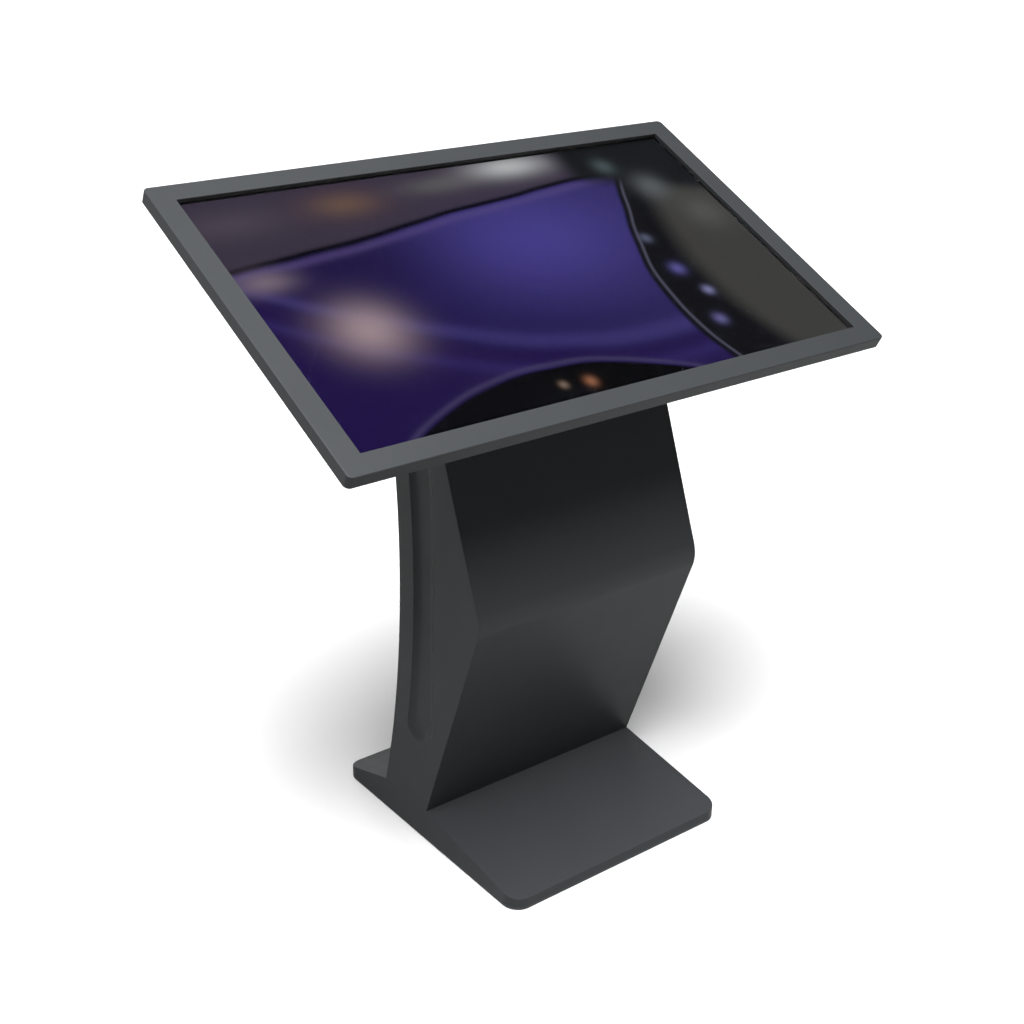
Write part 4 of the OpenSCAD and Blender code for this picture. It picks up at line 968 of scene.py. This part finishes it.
def socket_mesh(x, y, width, depth):
    """A connector's shell on the head: a wall, a floor and a tongue in the middle"""
    wall = 0.0006
    inner = (width - 2 * wall, PORT_HEIGHT - 2 * wall)

    def ring(size, radius, steps, z):
        return [HEAD @ Vector((x + px, y + py, -z)) for px, py in rounded_rectangle(*size, radius, steps)]

    outer = (width, PORT_HEIGHT)
    points, faces = loft([ring(size, 0.0009, 3, z) for size, z in (
        (outer, depth - 0.011), (outer, depth), (inner, depth), (inner, depth - 0.010))])
    tongue = (inner[0] * 0.72, inner[1] * 0.22)
    more, more_faces = loft([ring(tongue, 0.0003, 2, z) for z in (depth - 0.0102, depth - 0.0015)])
    faces += [tuple(i + len(points) for i in face) for face in more_faces]
    return finished(mesh_of(points + more, faces))


def screen_mesh(places, radius, pitch, place):
    """Round screens of crossed wires, one at each place"""
    g, radius, step, thick, count = shape_graph(
        "wire_screens", Radius=radius, Pitch=pitch, Wire=0.00045, Count=int(radius / pitch) * 2 + 1)
    half = (count - 1) / 2
    offset = (g.index() - half) * step
    reach = (radius ** 2 - offset * offset) ** 0.5
    bar = g.line(g.vector(0.0, -1.0), g.vector(0.0, 1.0))
    row = g.moved(g.row(count, g.vector(step)), x=half * step * -1.0)
    bars = g.wire(g.copies(row, bar, scale=g.vector(1.0, reach, 1.0)), thick / 2, 6)
    turned = g.add("GeometryNodeTransform", {
        "Geometry": bars, "Rotation": g.vector(0.0, 0.0, math.pi / 2),
        "Translation": g.vector(0.0, 0.0, 0.0004)})
    return g.mesh(g.copies(g.points, g.joined(bars, turned)), "plain_steel", places, place=place)


# -------- operators


class KIOSK_OT_materials(bpy.types.Operator):
    """Makes the finishes and gives each CAD node its own"""

    bl_idname = "kiosk.materials"
    bl_label = "Materials"

    def execute(self, context):
        build_materials()
        for name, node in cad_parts.items():
            node.data.materials.clear()
            node.data.materials.append(MATERIALS[FINISH_OF.get(name, "coat")])
        return {"FINISHED"}


class KIOSK_OT_bezel(bpy.types.Operator):
    """Builds the folded bezel with its rounded edge and its recessed opening"""

    bl_idname = "kiosk.bezel"
    bl_label = "Bezel"

    def execute(self, context):
        edge = sizes().bezel_edge

        def ring(size, corner, inset, z):
            return [HEAD @ Vector((x, y, z)) for x, y in rounded_rectangle(
                size[0] - 2 * inset, size[1] - 2 * inset, corner - inset)]

        loops = [ring(OPENING, OPENING_CORNER, 0, -BEZEL_SHEET)]
        for size, corner, radius, way, level, turn, degrees in (
            (OPENING, OPENING_CORNER, OPENING_LIP, -1, 0, -1, [0, 45, 90]),
            (BEZEL, BEZEL_CORNER, edge, 1, 0, -1, [90, 68, 45, 22, 0]),
            (BEZEL, BEZEL_CORNER, RIM_FOOT, 1, -RIM_HEIGHT, 1, [0, 45, 90]),
        ):
            for a in np.radians(degrees):
                inset = way * radius * (1 - math.cos(a))
                loops.append(ring(size, corner, inset, level + turn * radius * (1 - math.sin(a))))
        loops += [ring(BEZEL, BEZEL_CORNER, BEZEL_SHEET, z) for z in (-RIM_HEIGHT, -BEZEL_SHEET)]
        mesh = finished(mesh_of(*loft(loops, closed_rows=True)), sharp=50)
        add_piece("bezel_frame", mesh, "coat", ["front_bezel"])
        return {"FINISHED"}


class KIOSK_OT_column(bpy.types.Operator):
    """Builds the column: fluted side panels, bent front skin and curved back panels"""

    bl_idname = "kiosk.column"
    bl_label = "Column"

    def execute(self, context):
        s = sizes()
        for side, word in SIDES:
            mesh = finished(side_mesh(side, s.sheet_edge, s.flute_depth), sharp=46)
            add_piece(f"side_skin_{word}", mesh, "coat", [f"side_panel_{word}", f"flute_pan_{word}"])
        section = strip_section(COLUMN_HALF - SIDE_SHEET, SKIN_SHEET, 0.0005)
        skin = finished(band_mesh(front_path, section), sharp=50)
        add_piece("bent_front_skin", skin, "coat", ["front_skin"])
        fine = s.fine_edge
        round_nodes(
            ("back_panel_upper", "vented_back_panel", 0.0005),
            ("back_panel_lower", "inlet_back_panel", 0.0005),
            ("service_door", "rear_service_door", 0.0006, "door"),
            ("hinge_brackets", "fixed_hinge_halves", fine),
            ("hinge_leaves", "door_hinge_halves", fine, "door"),
            ("lock_barrel", "quarter_turn_lock", fine, "lock", 3),
            ("lock_cam", "lock_tongue", fine, "lock"),
            ("power_inlet", "mains_inlet", fine),
            ("inlet_pins", "mains_pins", 0.0003),
            ("rocker_switch", "rocker_button", 0.0005, "rocker", 3),
            ("media_player", "finned_player", 0.0006),
            ("power_strip", "outlet_strip", 0.0012, "kiosk", 3))
        for side, word in SIDES:
            add_piece(f"door_seal_{word}", seal_mesh(side), "rubber", ["door_gasket"])
        return {"FINISHED"}


class KIOSK_OT_foot(bpy.types.Operator):
    """Builds the foot's wedge cover and its plate with rounded edges"""

    bl_idname = "kiosk.foot"
    bl_label = "Foot"

    def execute(self, context):
        s = sizes()
        round_node("foot_cover", "wedge_foot_cover", s.foot_edge, segments=3, sharp=25)
        round_node("foot_plate", "steel_foot_plate", s.fine_edge)
        add_piece("rubber_foot_pads", pad_mesh(), "rubber", ["foot_pads"])
        return {"FINISHED"}


class KIOSK_OT_head(bpy.types.Operator):
    """Rounds the edges of the head's rear box and of what shows on it"""

    bl_idname = "kiosk.head"
    bl_label = "Head"

    def execute(self, context):
        s = sizes()
        round_nodes(("rear_cover", "rear_box", 0.0006),
                    ("rear_flange", "rear_box_flange", 0.0004))
        edge_x, edge_y = EDGE_AT
        points = [(x * edge_x, -y * BEZEL[1] / 5, RIM_HEIGHT) for x in (-1, 1) for y in (-2, 0, 2)]
        points += [(x * BEZEL[0] / 8, y * edge_y, RIM_HEIGHT) for x in (-3, -1, 1, 3) for y in (-1, 1)]
        under = HEAD @ Matrix.Rotation(math.pi, 4, "X")
        add_piece("rear_box_screws", screw_mesh(points, COVER_SCREW, under), "plain_steel",
                  ["rear_cover_screws"])
        corners = [(fan * FAN_AT[0] + x * FAN_SCREW, -FAN_AT[1] + y * FAN_SCREW, HEAD_DEPTH)
                   for fan in (-1, 1) for x in (-1, 1) for y in (-1, 1)]
        add_piece("fan_screws", screw_mesh(corners, GUARD_SCREW, under), "plain_steel")
        for side, word in SIDES:
            at = HEAD @ Matrix.Translation((side * FAN_AT[0], FAN_AT[1], -BOX_INSIDE))
            add_piece(f"fan_blades_{word}", rotor_mesh(at, s.blade_count), "black_plastic",
                      [f"fan_rotor_{word}"], f"rotor_{word}")
        for side, word in SIDES:
            at = HEAD @ Matrix.Translation((side * FAN_AT[0], FAN_AT[1], -HEAD_DEPTH - s.guard_wire / 2))
            add_piece(f"wire_guard_{word}", guard_mesh(at, s.guard_wire), "plain_steel", ["fan_guards"])
        cones = [(side * SPEAKER_AT[0] + end * SPEAKER_CONE, SPEAKER_AT[1], -BOX_INSIDE + 0.0006)
                 for side in (-1, 1) for end in (-1, 1)]
        add_piece("speaker_screens", screen_mesh(cones, 0.0205, s.screen_pitch, HEAD), "plain_steel")
        for i, (x, width) in enumerate(PORTS):
            mesh = socket_mesh(PORT_AT[0] + x, PORT_AT[1], width - 0.002, BOX_INSIDE - 0.0005)
            add_piece(f"port_socket_{i + 1}", mesh, "plain_steel")
        round_node("port_panel", "recessed_port_panel", 0.0004)
        for key in ("power", "up", "down"):
            round_node(f"key_{key}", f"key_{key}_cap", 0.0004, f"{key}_key")
        for _, word in SIDES:
            round_nodes((f"fan_{word}", f"fan_frame_{word}", 0.0006),
                        (f"speaker_{word}", f"speaker_box_{word}", 0.0008))
        return {"FINISHED"}


def add_lamp(name, kind, way, place=(0, 0, 0), **facts):
    """A light that shines along a way"""
    light = bpy.data.lights.new(name, kind)
    for key, value in facts.items():
        setattr(light, key, value)
    lamp = linked(name, light)
    lamp.location = place
    lamp.rotation_mode = "QUATERNION"
    lamp.rotation_quaternion = Vector(way).to_track_quat("-Z", "Y")
    return lamp


class KIOSK_OT_stage(bpy.types.Operator):
    """Puts a pale floor, soft lights and a camera round the kiosk"""

    bl_idname = "kiosk.stage"
    bl_label = "Stage"

    def execute(self, context):
        scene = context.scene
        stage = scene.kiosk_stage
        mesh = bpy.data.meshes.new("floor")
        corners = [(x * FLOOR_HALF, y * FLOOR_HALF, 0) for x, y in ((-1, -1), (1, -1), (1, 1), (-1, 1))]
        mesh.from_pydata(corners, [], [(0, 1, 2, 3)])
        floor = linked("floor", mesh)
        material, _ = new_material("pale_floor", base_color=tuple(stage.floor_colour), roughness=0.7,
                                   specular_ior_level=0.1)
        mesh.materials.append(material)

        world = bpy.data.worlds.new("studio")
        world.use_nodes = True
        background = world.node_tree.nodes["Background"]
        background.inputs["Color"].default_value = (1.0, 1.0, 1.0, 1.0)
        background.inputs["Strength"].default_value = stage.sky_light
        scene.world = world

        # A high, soft main light, a weak one that reaches the back, and a softbox over the head
        for name, setting, spread, way in SUNS:
            add_lamp(name, "SUN", way, energy=getattr(stage, setting), angle=math.radians(spread))
        box = add_lamp("softbox", "AREA", Vector(SOFTBOX_AIM) - Vector(SOFTBOX_AT), SOFTBOX_AT,
                       shape="RECTANGLE", size=SOFTBOX_SIZE[0], size_y=SOFTBOX_SIZE[1],
                       energy=stage.box_light)
        box.visible_camera = False

        camera = bpy.data.cameras.new("camera")
        for key, value in CAMERA.items():
            setattr(camera, key, value)
        eye = linked("camera", camera)
        eye.location = CAMERA_AT
        eye.rotation_euler = CAMERA_TURN
        scene.camera = eye
        scene.view_settings.view_transform = "Standard"
        return {"FINISHED"}


OPERATORS = (
    KIOSK_OT_materials, KIOSK_OT_bezel, KIOSK_OT_column, KIOSK_OT_foot, KIOSK_OT_head, KIOSK_OT_stage)


class KIOSK_PT_panel(bpy.types.Panel):
    """Lists the kiosk's settings and pieces"""

    bl_idname = "KIOSK_PT_panel"
    bl_label = "Touchscreen kiosk"
    bl_space_type = "VIEW_3D"
    bl_region_type = "UI"
    bl_category = "Kiosk"

    def draw(self, context):
        for group in (context.scene.kiosk_sizes, context.scene.kiosk_colours, context.scene.kiosk_stage):
            column = self.layout.column(align=True)
            for name in group.__annotations__:
                column.prop(group, name)
        column = self.layout.column(align=True)
        for operator in OPERATORS:
            column.operator(operator.bl_idname)


GROUPS = (("kiosk_sizes", KioskSizes), ("kiosk_colours", KioskColours), ("kiosk_stage", KioskStage))
CLASSES = (*OPERATORS, KIOSK_PT_panel)


def register():
    for name, group in GROUPS:
        bpy.utils.register_class(group)
        setattr(bpy.types.Scene, name, PointerProperty(type=group))
    for cls in CLASSES:
        bpy.utils.register_class(cls)


def unregister():
    for cls in reversed(CLASSES):
        bpy.utils.unregister_class(cls)
    for name, group in reversed(GROUPS):
        delattr(bpy.types.Scene, name)
        bpy.utils.unregister_class(group)


def main():
    register()
    for operator in OPERATORS:
        group, name = operator.bl_idname.split(".")
        getattr(getattr(bpy.ops, group), name)()


if __name__ == "__main__":
    main()
